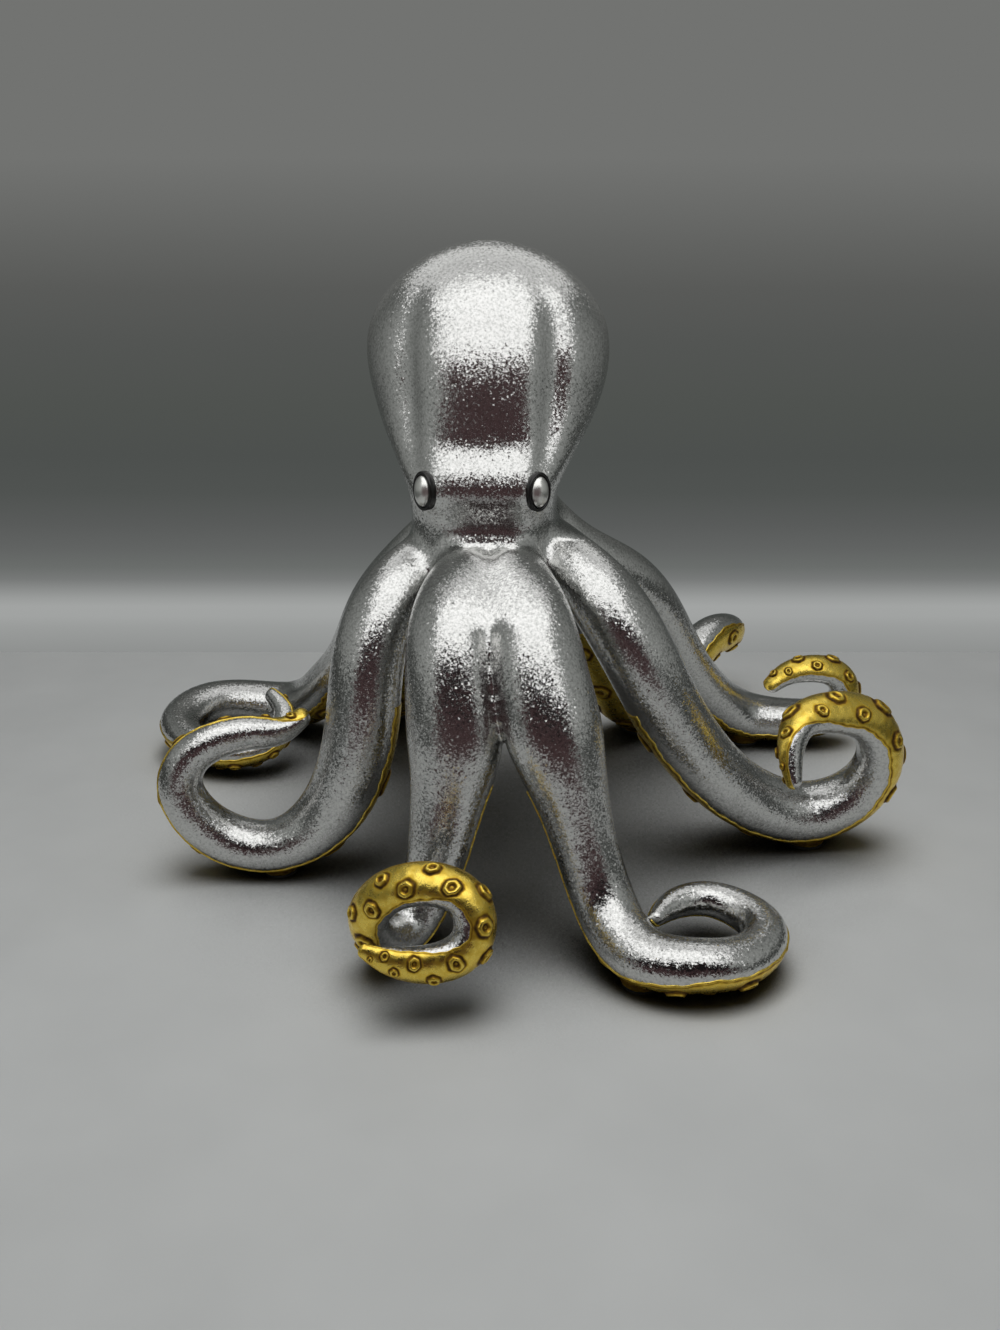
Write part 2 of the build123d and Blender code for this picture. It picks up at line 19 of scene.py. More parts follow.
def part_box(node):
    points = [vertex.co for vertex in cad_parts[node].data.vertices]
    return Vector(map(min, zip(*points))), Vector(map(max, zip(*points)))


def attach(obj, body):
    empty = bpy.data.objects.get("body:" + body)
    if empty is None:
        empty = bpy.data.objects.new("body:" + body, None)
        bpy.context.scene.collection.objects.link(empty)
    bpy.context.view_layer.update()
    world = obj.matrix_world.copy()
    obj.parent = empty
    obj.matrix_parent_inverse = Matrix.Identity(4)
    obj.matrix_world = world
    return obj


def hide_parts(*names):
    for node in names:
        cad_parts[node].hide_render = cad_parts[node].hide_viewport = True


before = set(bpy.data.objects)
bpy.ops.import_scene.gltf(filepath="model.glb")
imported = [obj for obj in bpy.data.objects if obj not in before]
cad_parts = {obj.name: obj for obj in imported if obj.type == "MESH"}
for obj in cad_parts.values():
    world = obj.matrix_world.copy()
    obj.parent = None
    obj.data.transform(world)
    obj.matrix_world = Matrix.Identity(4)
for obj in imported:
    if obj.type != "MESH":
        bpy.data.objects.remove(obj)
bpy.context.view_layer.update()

# %% [markdown]
# ## The camera
#
# The ornament is seen from the front and a little above, with the view tilted down by 20
# degrees. The table then fills the lower part of the picture, and the head stands against the
# wall. All lengths below are in millimetres, and one factor turns them into Blender's metres.

# %% Camera
MM = 0.001
CAMERA_PLACE = (-5.9, -401.1, 203.0)
CAMERA_TILT = 20.0
CAMERA_LENS = 31.13
CAMERA_NEAR = 10.0

scene = bpy.context.scene
scene.view_settings.view_transform = "Standard"
camera_data = bpy.data.cameras.new("camera")
camera_data.lens = CAMERA_LENS
camera_data.clip_start = CAMERA_NEAR * MM
camera = bpy.data.objects.new("camera", camera_data)
camera.location = Vector(CAMERA_PLACE) * MM
camera.rotation_euler = (math.radians(90 - CAMERA_TILT), 0, 0)
scene.collection.objects.link(camera)
scene.camera = camera
print("camera", tuple(round(v, 3) for v in camera.location), "lens", CAMERA_LENS, "mm")

# %% [markdown]
# ## The routes of the arms
#
# Each arm is a tube that thins towards its tip. A few rows say where its middle goes: across,
# forward and up, how thick the arm is, and how far its sucker face is turned. The model was
# built from the same rows, so the new surfaces lie where its solids are.

# %% Sizes and rows of the arms
ARM_REACH = 150.0
ARM_RISE = 100.0
ARM_GIRTH = 30.0
PAD_THICKNESS = 1.0
FOOT_DEPTH = 1.2
BACK_SHARE = 0.95
EDGE_SHARE = 0.30
FACE_SHARE = 0.78
FOOT_RADIUS_SHARE = 0.62
PAD_RIM = 0.5
NECK_HEIGHT = 104.0

# x and y in shares of ARM_REACH, rise in shares of ARM_RISE, girth in shares of ARM_GIRTH,
# and the turn of the sucker face in degrees
ARM_SHARES = {
    "front_left": [
        (-0.033, -0.100, 0.960, 0.63, 0),
        (-0.050, -0.263, 0.920, 0.72, 0),
        (-0.070, -0.430, 0.815, 0.91, 0),
        (-0.069, -0.484, 0.653, 0.98, 0),
        (-0.062, -0.512, 0.479, 1.02, 0),
        (-0.077, -0.538, 0.341, 0.82, 0),
        (-0.097, -0.568, 0.206, 0.67, 0),
        (-0.123, -0.590, 0.086, 0.57, 0),
        (-0.167, -0.643, 0.000, 0.52, 0),
        (-0.213, -0.707, 0.050, 0.46, -6),
        (-0.223, -0.743, 0.160, 0.42, -14),
        (-0.183, -0.761, 0.253, 0.41, -26),
        (-0.133, -0.773, 0.290, 0.41, -38),
        (-0.077, -0.783, 0.292, 0.41, -54),
        (-0.034, -0.797, 0.261, 0.42, -68),
        (-0.017, -0.813, 0.200, 0.43, -74),
        (-0.034, -0.831, 0.139, 0.42, -68),
        (-0.077, -0.847, 0.116, 0.39, -56),
        (-0.130, -0.857, 0.126, 0.33, -46),
        (-0.180, -0.863, 0.158, 0.24, -38),
        (-0.220, -0.867, 0.204, 0.12, -30),
    ],
    "front_right": [
        (0.036, -0.100, 0.960, 0.63, 0),
        (0.061, -0.276, 0.922, 0.73, 0),
        (0.089, -0.448, 0.822, 0.91, 0),
        (0.108, -0.508, 0.665, 1.01, 0),
        (0.136, -0.550, 0.507, 1.00, 0),
        (0.169, -0.580, 0.370, 0.78, 0),
        (0.203, -0.606, 0.208, 0.67, 0),
        (0.240, -0.652, 0.068, 0.65, 0),
        (0.300, -0.743, 0.000, 0.63, -4),
        (0.407, -0.783, 0.007, 0.59, -24),
        (0.507, -0.750, 0.009, 0.54, -32),
        (0.550, -0.677, 0.033, 0.47, -28),
        (0.513, -0.603, 0.056, 0.40, -20),
        (0.450, -0.577, 0.071, 0.36, -20),
        (0.377, -0.607, 0.084, 0.29, -20),
        (0.337, -0.657, 0.099, 0.16, -20),
    ],
    "left": [
        (-0.067, -0.053, 1.044, 0.63, -25),
        (-0.132, -0.126, 0.950, 0.68, -25),
        (-0.212, -0.211, 0.813, 0.83, -25),
        (-0.257, -0.263, 0.623, 0.89, -25),
        (-0.273, -0.284, 0.425, 0.91, -25),
        (-0.305, -0.292, 0.236, 0.88, -22),
        (-0.373, -0.293, 0.077, 0.78, -20),
        (-0.480, -0.307, 0.000, 0.65, -16),
        (-0.593, -0.310, 0.032, 0.61, -20),
        (-0.670, -0.320, 0.158, 0.55, -30),
        (-0.689, -0.315, 0.263, 0.51, -38),
        (-0.663, -0.303, 0.352, 0.48, -44),
        (-0.603, -0.283, 0.403, 0.45, -45),
        (-0.537, -0.260, 0.418, 0.41, -42),
        (-0.473, -0.243, 0.423, 0.35, -25),
        (-0.423, -0.227, 0.475, 0.24, 30),
    ],
    "right": [
        (0.080, -0.053, 1.054, 0.63, 28),
        (0.149, -0.126, 0.976, 0.67, 28),
        (0.245, -0.220, 0.820, 0.88, 28),
        (0.323, -0.258, 0.634, 0.93, 28),
        (0.396, -0.251, 0.434, 0.91, 28),
        (0.499, -0.225, 0.221, 0.86, 25),
        (0.637, -0.180, 0.045, 0.83, 20),
        (0.760, -0.167, 0.000, 0.79, 12),
        (0.883, -0.180, 0.112, 0.69, 0),
        (0.913, -0.200, 0.281, 0.61, -6),
        (0.867, -0.220, 0.417, 0.55, -8),
        (0.773, -0.247, 0.474, 0.48, -4),
        (0.693, -0.280, 0.466, 0.40, 30),
        (0.667, -0.320, 0.396, 0.32, 75),
        (0.670, -0.360, 0.328, 0.20, 85),
    ],
    "rear_left": [
        (-0.093, 0.013, 1.038, 0.60, 0),
        (-0.160, 0.047, 0.925, 0.63, 0),
        (-0.283, 0.173, 0.638, 0.76, 0),
        (-0.380, 0.333, 0.318, 0.77, 0),
        (-0.463, 0.433, 0.134, 0.80, 0),
        (-0.527, 0.493, 0.035, 0.79, 0),
        (-0.600, 0.527, 0.000, 0.75, 0),
        (-0.693, 0.530, 0.022, 0.68, -5),
        (-0.820, 0.480, 0.052, 0.63, -18),
        (-0.873, 0.353, 0.042, 0.58, -28),
        (-0.793, 0.240, 0.019, 0.51, -32),
        (-0.667, 0.207, 0.017, 0.45, -32),
        (-0.583, 0.240, 0.071, 0.40, -30),
        (-0.567, 0.293, 0.159, 0.33, -30),
        (-0.607, 0.327, 0.233, 0.21, -30),
    ],
    "rear_right": [
        (0.120, 0.013, 1.058, 0.60, 0),
        (0.193, 0.047, 0.946, 0.61, 0),
        (0.340, 0.140, 0.750, 0.75, 0),
        (0.469, 0.273, 0.450, 0.80, 0),
        (0.593, 0.380, 0.154, 0.80, 0),
        (0.733, 0.440, 0.000, 0.77, 0),
        (0.875, 0.420, 0.007, 0.66, 0),
        (0.967, 0.420, 0.042, 0.59, -8),
        (1.007, 0.423, 0.107, 0.51, -18),
        (1.009, 0.427, 0.194, 0.46, -26),
        (0.970, 0.427, 0.254, 0.43, -30),
        (0.913, 0.427, 0.270, 0.41, -30),
        (0.850, 0.427, 0.257, 0.35, -30),
        (0.797, 0.413, 0.220, 0.24, -30),
    ],
    "back_right": [
        (0.060, 0.080, 1.038, 0.60, 0),
        (0.113, 0.147, 0.932, 0.65, 0),
        (0.187, 0.253, 0.681, 0.83, 0),
        (0.260, 0.347, 0.420, 0.84, 0),
        (0.327, 0.417, 0.193, 0.81, 0),
        (0.373, 0.467, 0.059, 0.80, 0),
        (0.440, 0.520, 0.000, 0.78, -4),
        (0.520, 0.573, 0.041, 0.75, -20),
        (0.593, 0.630, 0.144, 0.72, -40),
        (0.673, 0.693, 0.245, 0.67, -56),
        (0.737, 0.773, 0.234, 0.59, -56),
        (0.730, 0.853, 0.190, 0.49, -40),
        (0.667, 0.913, 0.141, 0.40, -30),
        (0.593, 0.913, 0.102, 0.31, -20),
        (0.547, 0.867, 0.095, 0.20, -10),
    ],
    "back_left": [
        (-0.040, 0.080, 1.038, 0.60, 0),
        (-0.093, 0.147, 0.935, 0.63, 0),
        (-0.167, 0.253, 0.686, 0.79, 0),
        (-0.220, 0.373, 0.403, 0.81, 0),
        (-0.260, 0.473, 0.168, 0.77, 0),
        (-0.287, 0.547, 0.040, 0.73, 0),
        (-0.303, 0.627, 0.000, 0.69, 0),
        (-0.293, 0.713, 0.045, 0.63, 10),
        (-0.240, 0.780, 0.162, 0.56, 20),
        (-0.153, 0.787, 0.272, 0.48, 26),
        (-0.080, 0.747, 0.260, 0.41, 30),
        (-0.067, 0.693, 0.179, 0.33, 30),
        (-0.107, 0.660, 0.123, 0.21, 30),
    ],
}
JOINT_ROW = {"front_left": 5, "front_right": 5, "left": 4, "right": 4,
             "rear_left": 3, "rear_right": 3, "back_right": 3, "back_left": 3}
STEPS_PER_ROW = 40
STUB_LEAD_SHARE = 0.35
print(len(ARM_SHARES), "arms,", sum(len(rows) for rows in ARM_SHARES.values()), "rows")

# %% [markdown]
# A natural cubic spline through the rows has no kinks, which matters on a mirror-like surface:
# every kink in the route would show as a break in the reflections. The sucker face looks
# straight down where the arm touches the table, and is carried from there along the arm
# without twisting.

# %% Stations along an arm
def rest_row(name):
    return [row[2] for row in ARM_SHARES[name]].index(0.0)


def arm_rows(name):
    """The rows of an arm in millimetres: x, y, z, half width and turn."""
    rows = []
    for x_share, y_share, rise_share, girth_share, turn in ARM_SHARES[name]:
        radius = girth_share * ARM_GIRTH / 2
        z = PAD_THICKNESS + FOOT_DEPTH + FACE_SHARE * radius + rise_share * ARM_RISE
        rows.append((x_share * ARM_REACH, y_share * ARM_REACH, z, radius, turn))
    return np.array(rows)


def smooth_rows(rows, steps_per_row):
    """Points on a natural cubic spline through the rows."""
    steps = np.linalg.norm(np.diff(rows[:, :3], axis=0), axis=1)
    count = len(rows)
    matrix = np.eye(count)
    right_side = np.zeros_like(rows)
    slopes = np.diff(rows, axis=0) / steps[:, None]
    for i in range(1, count - 1):
        matrix[i, i - 1:i + 2] = steps[i - 1], 2 * (steps[i - 1] + steps[i]), steps[i]
        right_side[i] = 6 * (slopes[i] - slopes[i - 1])
    bend = np.linalg.solve(matrix, right_side)
    points = []
    for i, step in enumerate(steps):
        last = i == count - 2
        for share in np.linspace(0, 1, steps_per_row + 1)[:None if last else -1]:
            before, after = step * (1 - share), step * share
            cubic = (bend[i] * before ** 3 + bend[i + 1] * after ** 3) / (6 * step)
            line = (rows[i] / step - bend[i] * step / 6) * before
            line += (rows[i + 1] / step - bend[i + 1] * step / 6) * after
            points.append(cubic + line)
    return np.array(points)


def unit(vectors):
    return vectors / np.linalg.norm(vectors, axis=-1, keepdims=True)


def arm_stations(name):
    """Centres, directions, face directions, width directions, half widths and travel."""
    points = smooth_rows(arm_rows(name), STEPS_PER_ROW)
    centres, radii, turns = points[:, :3], points[:, 3], np.radians(points[:, 4])
    along = unit(np.gradient(centres, axis=0))
    rest = rest_row(name) * STEPS_PER_ROW
    faces = np.zeros_like(centres)
    down = np.array([0, 0, -1])
    faces[rest] = unit(down - along[rest] * (down @ along[rest]))
    for order in (range(rest + 1, len(centres)), range(rest - 1, -1, -1)):
        carried = faces[rest]
        for i in order:
            carried = unit(carried - along[i] * (carried @ along[i]))
            faces[i] = carried
    cos, sin = np.cos(turns)[:, None], np.sin(turns)[:, None]
    faces = faces * cos + np.cross(along, faces) * sin
    steps = np.linalg.norm(np.diff(centres, axis=0), axis=1)
    travel = np.concatenate([[0], np.cumsum(steps)])
    return {"centre": centres, "along": along, "face": faces,
            "width": np.cross(along, faces), "radius": radii, "travel": travel}


arms = {name: arm_stations(name) for name in ARM_SHARES}
for name, arm in arms.items():
    print(name, "is", round(arm["travel"][-1]), "mm long")

# %% [markdown]
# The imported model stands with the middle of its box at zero, while the rows are measured from
# the middle of the head. The feet tell how far apart the two are: the felt pads are in both.

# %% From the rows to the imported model
feet = {}
for name, arm in arms.items():
    i = rest_row(name) * STEPS_PER_ROW
    feet[name] = (arm["centre"][i][:2], arm["radius"][i] * FOOT_RADIUS_SHARE)
pad_low = np.array([place - (radius - PAD_RIM) for place, radius in feet.values()]).min(axis=0)
pad_high = np.array([place + (radius - PAD_RIM) for place, radius in feet.values()]).max(axis=0)
low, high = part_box("felt_pads")
shift = np.array([*((low.xy + high.xy) / 2 / MM - Vector((pad_low + pad_high) / 2)), 0.0])
print("shift", shift.round(3), "mm")


def make_object(name, points, faces):
    """A mesh from points in millimetres, measured as the rows are."""
    mesh = bpy.data.meshes.new(name)
    mesh.from_pydata(((np.asarray(points) + shift) * MM).tolist(), [], faces)
    mesh.validate()
    obj = bpy.data.objects.new(name, mesh)
    scene.collection.objects.link(obj)
    return obj


def grid_faces(rings, columns):
    """Quads between rings of points that close on themselves."""
    ring, column = np.meshgrid(np.arange(rings - 1), np.arange(columns), indexing="ij")
    a = ring * columns + column
    b = ring * columns + (column + 1) % columns
    quads = np.stack([a, b, b + columns, a + columns], axis=-1)
    return quads.reshape(-1, 4).tolist()


def closed_object(name, rings, first, last):
    """A mesh of closed rings, with a fan to one point before them and to one after them."""
    count, columns = len(rings), len(rings[0])
    faces = grid_faces(count, columns)
    middle, end = count * columns, (count - 1) * columns
    for k in range(columns):
        after = (k + 1) % columns
        faces += [(middle, after, k), (middle + 1, end + k, end + after)]
    return make_object(name, np.vstack([*rings, first, last]), faces)


@contextmanager
def editing(mesh):
    """A mesh opened for editing, and written back at the end."""
    builder = bmesh.new()
    builder.from_mesh(mesh)
    yield builder
    builder.to_mesh(mesh)
    builder.free()


def add_attribute(mesh, name, values):
    attribute = mesh.attributes.new(name, "FLOAT", "POINT")
    attribute.data.foreach_set("value", values.astype(np.float32))


def round_off(mesh):
    """Turns all faces outward and shades them smooth."""
    with editing(mesh) as builder:
        bmesh.ops.recalc_face_normals(builder, faces=builder.faces)
        for face in builder.faces:
            face.smooth = True

# %% [markdown]
# ## The silver skin
#
# The silver side of the casting is one flowing surface: the arms run up into a crown, and the
# crown into the neck, with no step between them. Loose shapes are the quickest way there. The
# head, the crown and the arms are made as plain closed tubes that overlap, a voxel remesh turns
# them into one skin, and smoothing rounds the creases where they meet.

# %% The head
# a row for each level of the head: its height, half width, how far forward the middle of the
# section lies, the reach in front of that middle and behind it, all as shares, then the
# squareness of the section and the depth share of the grooves beside the forehead
HEAD_HEIGHT = 101.0
HEAD_WIDTH = 80.6
HEAD_DEPTH = 80.6
HEAD_TURN = 4.5
HEAD_LEVEL_SHARES = [
    (0.000, 0.645, 0.199, 0.794, 0.819, 2.50, 0.000),
    (0.070, 0.618, 0.248, 0.670, 0.844, 2.90, 0.000),
    (0.110, 0.605, 0.273, 0.628, 0.876, 3.10, 0.000),
    (0.150, 0.598, 0.298, 0.618, 0.918, 3.20, 0.000),
    (0.190, 0.598, 0.310, 0.640, 0.955, 3.30, 0.006),
    (0.230, 0.610, 0.310, 0.680, 0.993, 3.30, 0.009),
    (0.265, 0.635, 0.298, 0.705, 1.022, 3.20, 0.012),
    (0.300, 0.677, 0.273, 0.717, 1.042, 3.00, 0.022),
    (0.335, 0.725, 0.236, 0.725, 1.055, 2.80, 0.031),
    (0.365, 0.767, 0.199, 0.727, 1.062, 2.65, 0.040),
    (0.400, 0.816, 0.149, 0.749, 1.055, 2.50, 0.050),
    (0.460, 0.888, 0.074, 0.816, 1.047, 2.25, 0.065),
    (0.540, 0.960, 0.000, 0.893, 1.032, 2.05, 0.074),
    (0.660, 1.000, 0.000, 0.868, 1.067, 2.00, 0.074),
    (0.760, 0.955, 0.000, 0.794, 1.032, 2.00, 0.056),
    (0.850, 0.814, 0.000, 0.670, 0.893, 2.00, 0.031),
    (0.920, 0.625, 0.000, 0.519, 0.695, 2.00, 0.012),
    (0.970, 0.400, 0.000, 0.347, 0.434, 2.00, 0.000),
    (1.000, 0.139, 0.000, 0.139, 0.149, 2.00, 0.000),
]
HEAD_GROOVE_ANGLE = 37.0     # degrees from the middle of the face to each groove
HEAD_GROOVE_SPREAD = 8.5


def head_levels(count):
    """Levels of the head on a smooth outline through its rows, evenly spaced along it."""
    rows = np.array(HEAD_LEVEL_SHARES)
    outline = np.column_stack([rows[:, 1] * HEAD_WIDTH / 2, rows[:, 0] * HEAD_HEIGHT,
                               np.zeros(len(rows)), rows])
    fine = smooth_rows(outline, STEPS_PER_ROW)
    steps = np.linalg.norm(np.diff(fine[:, :2], axis=0), axis=1)
    travel = np.concatenate([[0], np.cumsum(steps)])
    wanted = np.linspace(0, travel[-1], count)
    return np.array([np.interp(wanted, travel, column) for column in fine[:, 3:].T]).T


def head_surface(levels, angles):
    """Points of the head; an angle of 0 is the middle of the face."""
    height, wide, forward, front, back, squareness, groove = (column[:, None] for column in levels.T)
    offset = (np.degrees(np.abs(angles)) - HEAD_GROOVE_ANGLE) / HEAD_GROOVE_SPREAD
    out = 1 - np.clip(groove, 0, None) * np.exp(-offset ** 2)[None, :]
    sine, cosine = np.sin(angles)[None, :], np.cos(angles)[None, :]
    reach = np.where(cosine > 0, front, back)
    x = np.sign(sine) * abs(sine) ** (2 / squareness) * wide * out * HEAD_WIDTH / 2
    y = -(np.sign(cosine) * abs(cosine) ** (2 / squareness) * reach * out + forward) * HEAD_DEPTH / 2
    z = NECK_HEIGHT + height * HEAD_HEIGHT + 0 * x
    turn = math.radians(-HEAD_TURN)
    return np.stack([x * math.cos(turn) - y * math.sin(turn),
                     x * math.sin(turn) + y * math.cos(turn), z], axis=-1)


HEAD_COLUMNS = 300
HEAD_RINGS = 220
HEAD_TOP_RISE = 0.1
levels = head_levels(HEAD_RINGS)
angles = np.linspace(-math.pi, math.pi, HEAD_COLUMNS, endpoint=False)
rings = head_surface(levels, angles)
bottom, top = rings[0].mean(axis=0), rings[-1].mean(axis=0) + (0, 0, HEAD_TOP_RISE)
loose = [closed_object("head", rings, bottom, top)]
print("head of", rings.size // 3, "points")

# %% The crown and the arms
CROWN_HEIGHT = 24.0
CROWN_WIDTH = 74.0
CROWN_LEVEL_SHARES = [(-0.25, 0.55), (0.10, 0.64), (0.45, 0.78), (0.80, 0.74), (1.00, 0.52)]
CROWN_COLUMNS = 96

around = np.linspace(0, 2 * math.pi, CROWN_COLUMNS, endpoint=False)
rings = [np.column_stack([np.cos(around) * CROWN_WIDTH / 2 * width,
                          np.sin(around) * CROWN_WIDTH / 2 * width,
                          np.full(CROWN_COLUMNS, NECK_HEIGHT - height * CROWN_HEIGHT)])
         for height, width in CROWN_LEVEL_SHARES[::-1]]
loose.append(closed_object("crown", rings, rings[0].mean(axis=0), rings[-1].mean(axis=0)))

SKIN_COLUMNS = 48
STEPS_PER_RING = 4
TIP_ROUNDING = 0.7       # length of the rounded end, as a share of the half width there
TIP_RINGS = 5


def section_points(arm, picks, columns):
    """Rings of points round an arm; an angle of 0 is the middle of its back."""
    turn = np.linspace(0, 2 * math.pi, columns, endpoint=False)
    side, depth = np.sin(turn), -np.cos(turn)
    depth = np.where(depth < 0, depth * BACK_SHARE, depth * FACE_SHARE)
    radius = arm["radius"][picks][:, None, None]
    return (arm["centre"][picks][:, None, :]
            + arm["width"][picks][:, None, :] * side[None, :, None] * radius
            + arm["face"][picks][:, None, :] * depth[None, :, None] * radius)


for name, arm in arms.items():
    rings = section_points(arm, np.arange(0, len(arm["centre"]), STEPS_PER_RING), SKIN_COLUMNS)
    end, along, radius = arm["centre"][-1], arm["along"][-1], arm["radius"][-1]
    tip_rings = []
    for share in np.linspace(0, 1, TIP_RINGS + 2)[1:-1]:
        lean = share * math.pi / 2
        ring = end + (rings[-1] - end) * math.cos(lean)
        tip_rings.append(ring + along * radius * TIP_ROUNDING * math.sin(lean))
    loose.append(closed_object("tube_" + name, [*rings, *tip_rings], arm["centre"][0],
                               end + along * radius * TIP_ROUNDING))
print(len(loose), "loose shapes")

# %% One skin from the loose shapes
SKIN_GRAIN = 0.8 * MM    # edge of a face of the skin


def rows_of(items, attribute, width, kind=float):
    """An attribute of all the items of a mesh, in rows of the given width."""
    values = np.empty(len(items) * width, dtype=kind)
    items.foreach_get(attribute, values)
    return values.reshape(-1, width)


joined = loose[0]
with editing(joined.data) as builder:
    for obj in loose[1:]:
        builder.from_mesh(obj.data)
    bmesh.ops.recalc_face_normals(builder, faces=builder.faces)
for obj in loose[1:]:
    bpy.data.objects.remove(obj)
remesh = joined.modifiers.new("one skin", "REMESH")
remesh.mode = "VOXEL"
remesh.voxel_size = SKIN_GRAIN
skin_mesh = bpy.data.meshes.new_from_object(joined.evaluated_get(
    bpy.context.evaluated_depsgraph_get()))
bpy.data.objects.remove(joined)
skin = rows_of(skin_mesh.vertices, "co", 3) / MM - shift
quads = rows_of(skin_mesh.loops, "vertex_index", 1, int).reshape(-1, 4)
print("skin of", len(quads), "faces")

# %% [markdown]
# A voxel surface has small steps. Averaging each point with its neighbours takes them out, but
# also shrinks the thin tips, so each step in is followed by a slightly larger step out. Round
# the crown a second averaging moves points outward only: it fills the creases between the arms
# with the soft webs that the casting has, and leaves their rounded backs as they are. Round
# the neck it is how the surface bends that is averaged, and not the surface itself, so that
# the neck keeps its width.

# %% Smooth the skin
SMOOTH_TURNS, STEP_IN, STEP_OUT = 14, 0.55, 0.57
WEB_TURNS, WEB_STEP_OUT, WEB_STEP_IN = 24, 0.9, 0.04
WEB_TURNS_PER_NORMAL = 6
NECK_TURNS, NECK_STEP = 1400, 0.45
MIDDLE_Y = -16.0         # the point that the reaches below are measured from

# where each smoothing works: from the first value, where it is nothing, to the second, where
# it is full
WEB_LOW, WEB_HIGH, WEB_REACH = (78.0, 98.0), (112.0, 100.0), (72.0, 57.0)
NECK_LOW, NECK_HIGH, NECK_REACH = (88.0, 100.0), (121.0, 113.0), (62.0, 50.0)


def fade(values, nothing, full):
    """0 where the values are at or before the first bound, 1 at or past the second."""
    return np.clip((values - nothing) / (full - nothing), 0, 1)


def both_ends(edges):
    """Both ends of every edge, each seen from the other one."""
    return (np.concatenate([edges[:, 0], edges[:, 1]]), np.concatenate([edges[:, 1], edges[:, 0]]))


def neighbour_pull(ends, others, count):
    """A function that gives the way from each point to the middle of its neighbours."""
    links = np.bincount(ends, minlength=count)[:, None]

    def pull(values):
        total = np.stack([np.bincount(ends, values[others, k], count) for k in range(3)], axis=1)
        return total / links - values

    return pull


def patch_pull(weight, edges):
    """The points of a patch where the weight isn't 0, and the pull among them alone."""
    ends, others = both_ends(edges)
    near = (weight[ends] > 0) | (weight[others] > 0)
    used = np.unique(np.concatenate([ends[near], others[near]]))
    place = np.full(len(weight), -1)
    place[used] = np.arange(len(used))
    inside = (place[ends] >= 0) & (place[others] >= 0)
    return used, neighbour_pull(place[ends[inside]], place[others[inside]], len(used))


def skin_normals(points):
    """Outward normals of the points of the skin."""
    corner = points[quads]
    facing = np.cross(corner[:, 2] - corner[:, 0], corner[:, 3] - corner[:, 1])
    total = np.stack([np.bincount(quads.ravel(), np.repeat(facing[:, k], 4), len(points))
                      for k in range(3)], axis=1)
    return unit(total)


edges = np.vstack([quads[:, [k, (k + 1) % 4]] for k in range(4)])
edges = np.unique(np.sort(edges, axis=1), axis=0)
pull = neighbour_pull(*both_ends(edges), len(skin))
for _ in range(SMOOTH_TURNS):
    skin += pull(skin) * STEP_IN
    skin -= pull(skin) * STEP_OUT

x, y, z = skin.T
away = np.hypot(x, y - MIDDLE_Y)
web = fade(z, *WEB_LOW) * fade(z, *WEB_HIGH) * fade(away, *WEB_REACH)
neck = fade(z, *NECK_LOW) * fade(z, *NECK_HIGH) * fade(away, *NECK_REACH)
for turn in range(WEB_TURNS):
    if turn % WEB_TURNS_PER_NORMAL == 0:
        outward = skin_normals(skin)
    step = (pull(skin) * outward).sum(axis=1, keepdims=True)
    skin += outward * np.where(step > 0, step * WEB_STEP_OUT, step * WEB_STEP_IN) * web[:, None]

used, pull = patch_pull(neck, edges)
patch = skin[used]
for _ in range(NECK_TURNS):
    patch -= pull(pull(patch)) * NECK_STEP * neck[used][:, None]
skin[used] = patch
print("webs touch", int((web > 0).sum()), "points, the neck", len(used))

# %% [markdown]
# The skin is cut at the glued joints, so that each arm is a piece of its own. Every face
# belongs to the nearest station of an arm. Those beyond the arm's joint go to the arm, all the
# others to the body, and both sides of the cut are closed. Each piece keeps the normals of the
# whole skin, so the joints don't show, as on the painted casting. In front of the neck those
# normals are averaged and their lean is limited first. The neck then mirrors the dark room and
# the shoulders of the front arms the bright ceiling, as they do on the real casting.

# %% Cut the skin into pieces
stations = KDTree(sum(len(arm["centre"]) for arm in arms.values()))
owner, number = [], []
for k, arm in enumerate(arms.values()):
    for i, centre in enumerate(arm["centre"]):
        stations.insert(Vector(centre), len(owner))
        owner.append(k)
        number.append(i)
stations.balance()
owner, number = np.array(owner), np.array(number)
arm_names = list(arms)
CUT_STATIONS = 30        # how far from the joint, in stations, faces are looked at for the cut
NEAR_STATIONS = 12       # within so many stations, the plane of the joint says what is beyond
joints = [JOINT_ROW[name] * STEPS_PER_ROW for name in arm_names]


def nearest_stations(points):
    found = np.array([stations.find(Vector(point))[1] for point in points])
    return owner[found], number[found]


skin_mesh.vertices.foreach_set("co", ((skin + shift) * MM).ravel())
near_arm, near_step = nearest_stations(skin)
with editing(skin_mesh) as builder:
    builder.verts.ensure_lookup_table()
    for k, name in enumerate(arm_names):
        arm, joint = arms[name], joints[k]
        close = (near_arm == k) & (abs(near_step - joint) < CUT_STATIONS)
        verts = {builder.verts[i] for i in np.flatnonzero(close)}
        cut_faces = {face for vert in verts for face in vert.link_faces}
        cut_edges = {edge for face in cut_faces for edge in face.edges}
        cut_verts = {vert for face in cut_faces for vert in face.verts}
        bmesh.ops.bisect_plane(builder, geom=[*cut_verts, *cut_edges, *cut_faces], dist=1e-6,
                               plane_co=Vector((arm["centre"][joint] + shift) * MM),
                               plane_no=Vector(arm["along"][joint]))
        builder.verts.ensure_lookup_table()
whole = rows_of(skin_mesh.vertices, "co", 3) / MM - shift
normals = rows_of(skin_mesh.vertex_normals, "vector", 3)

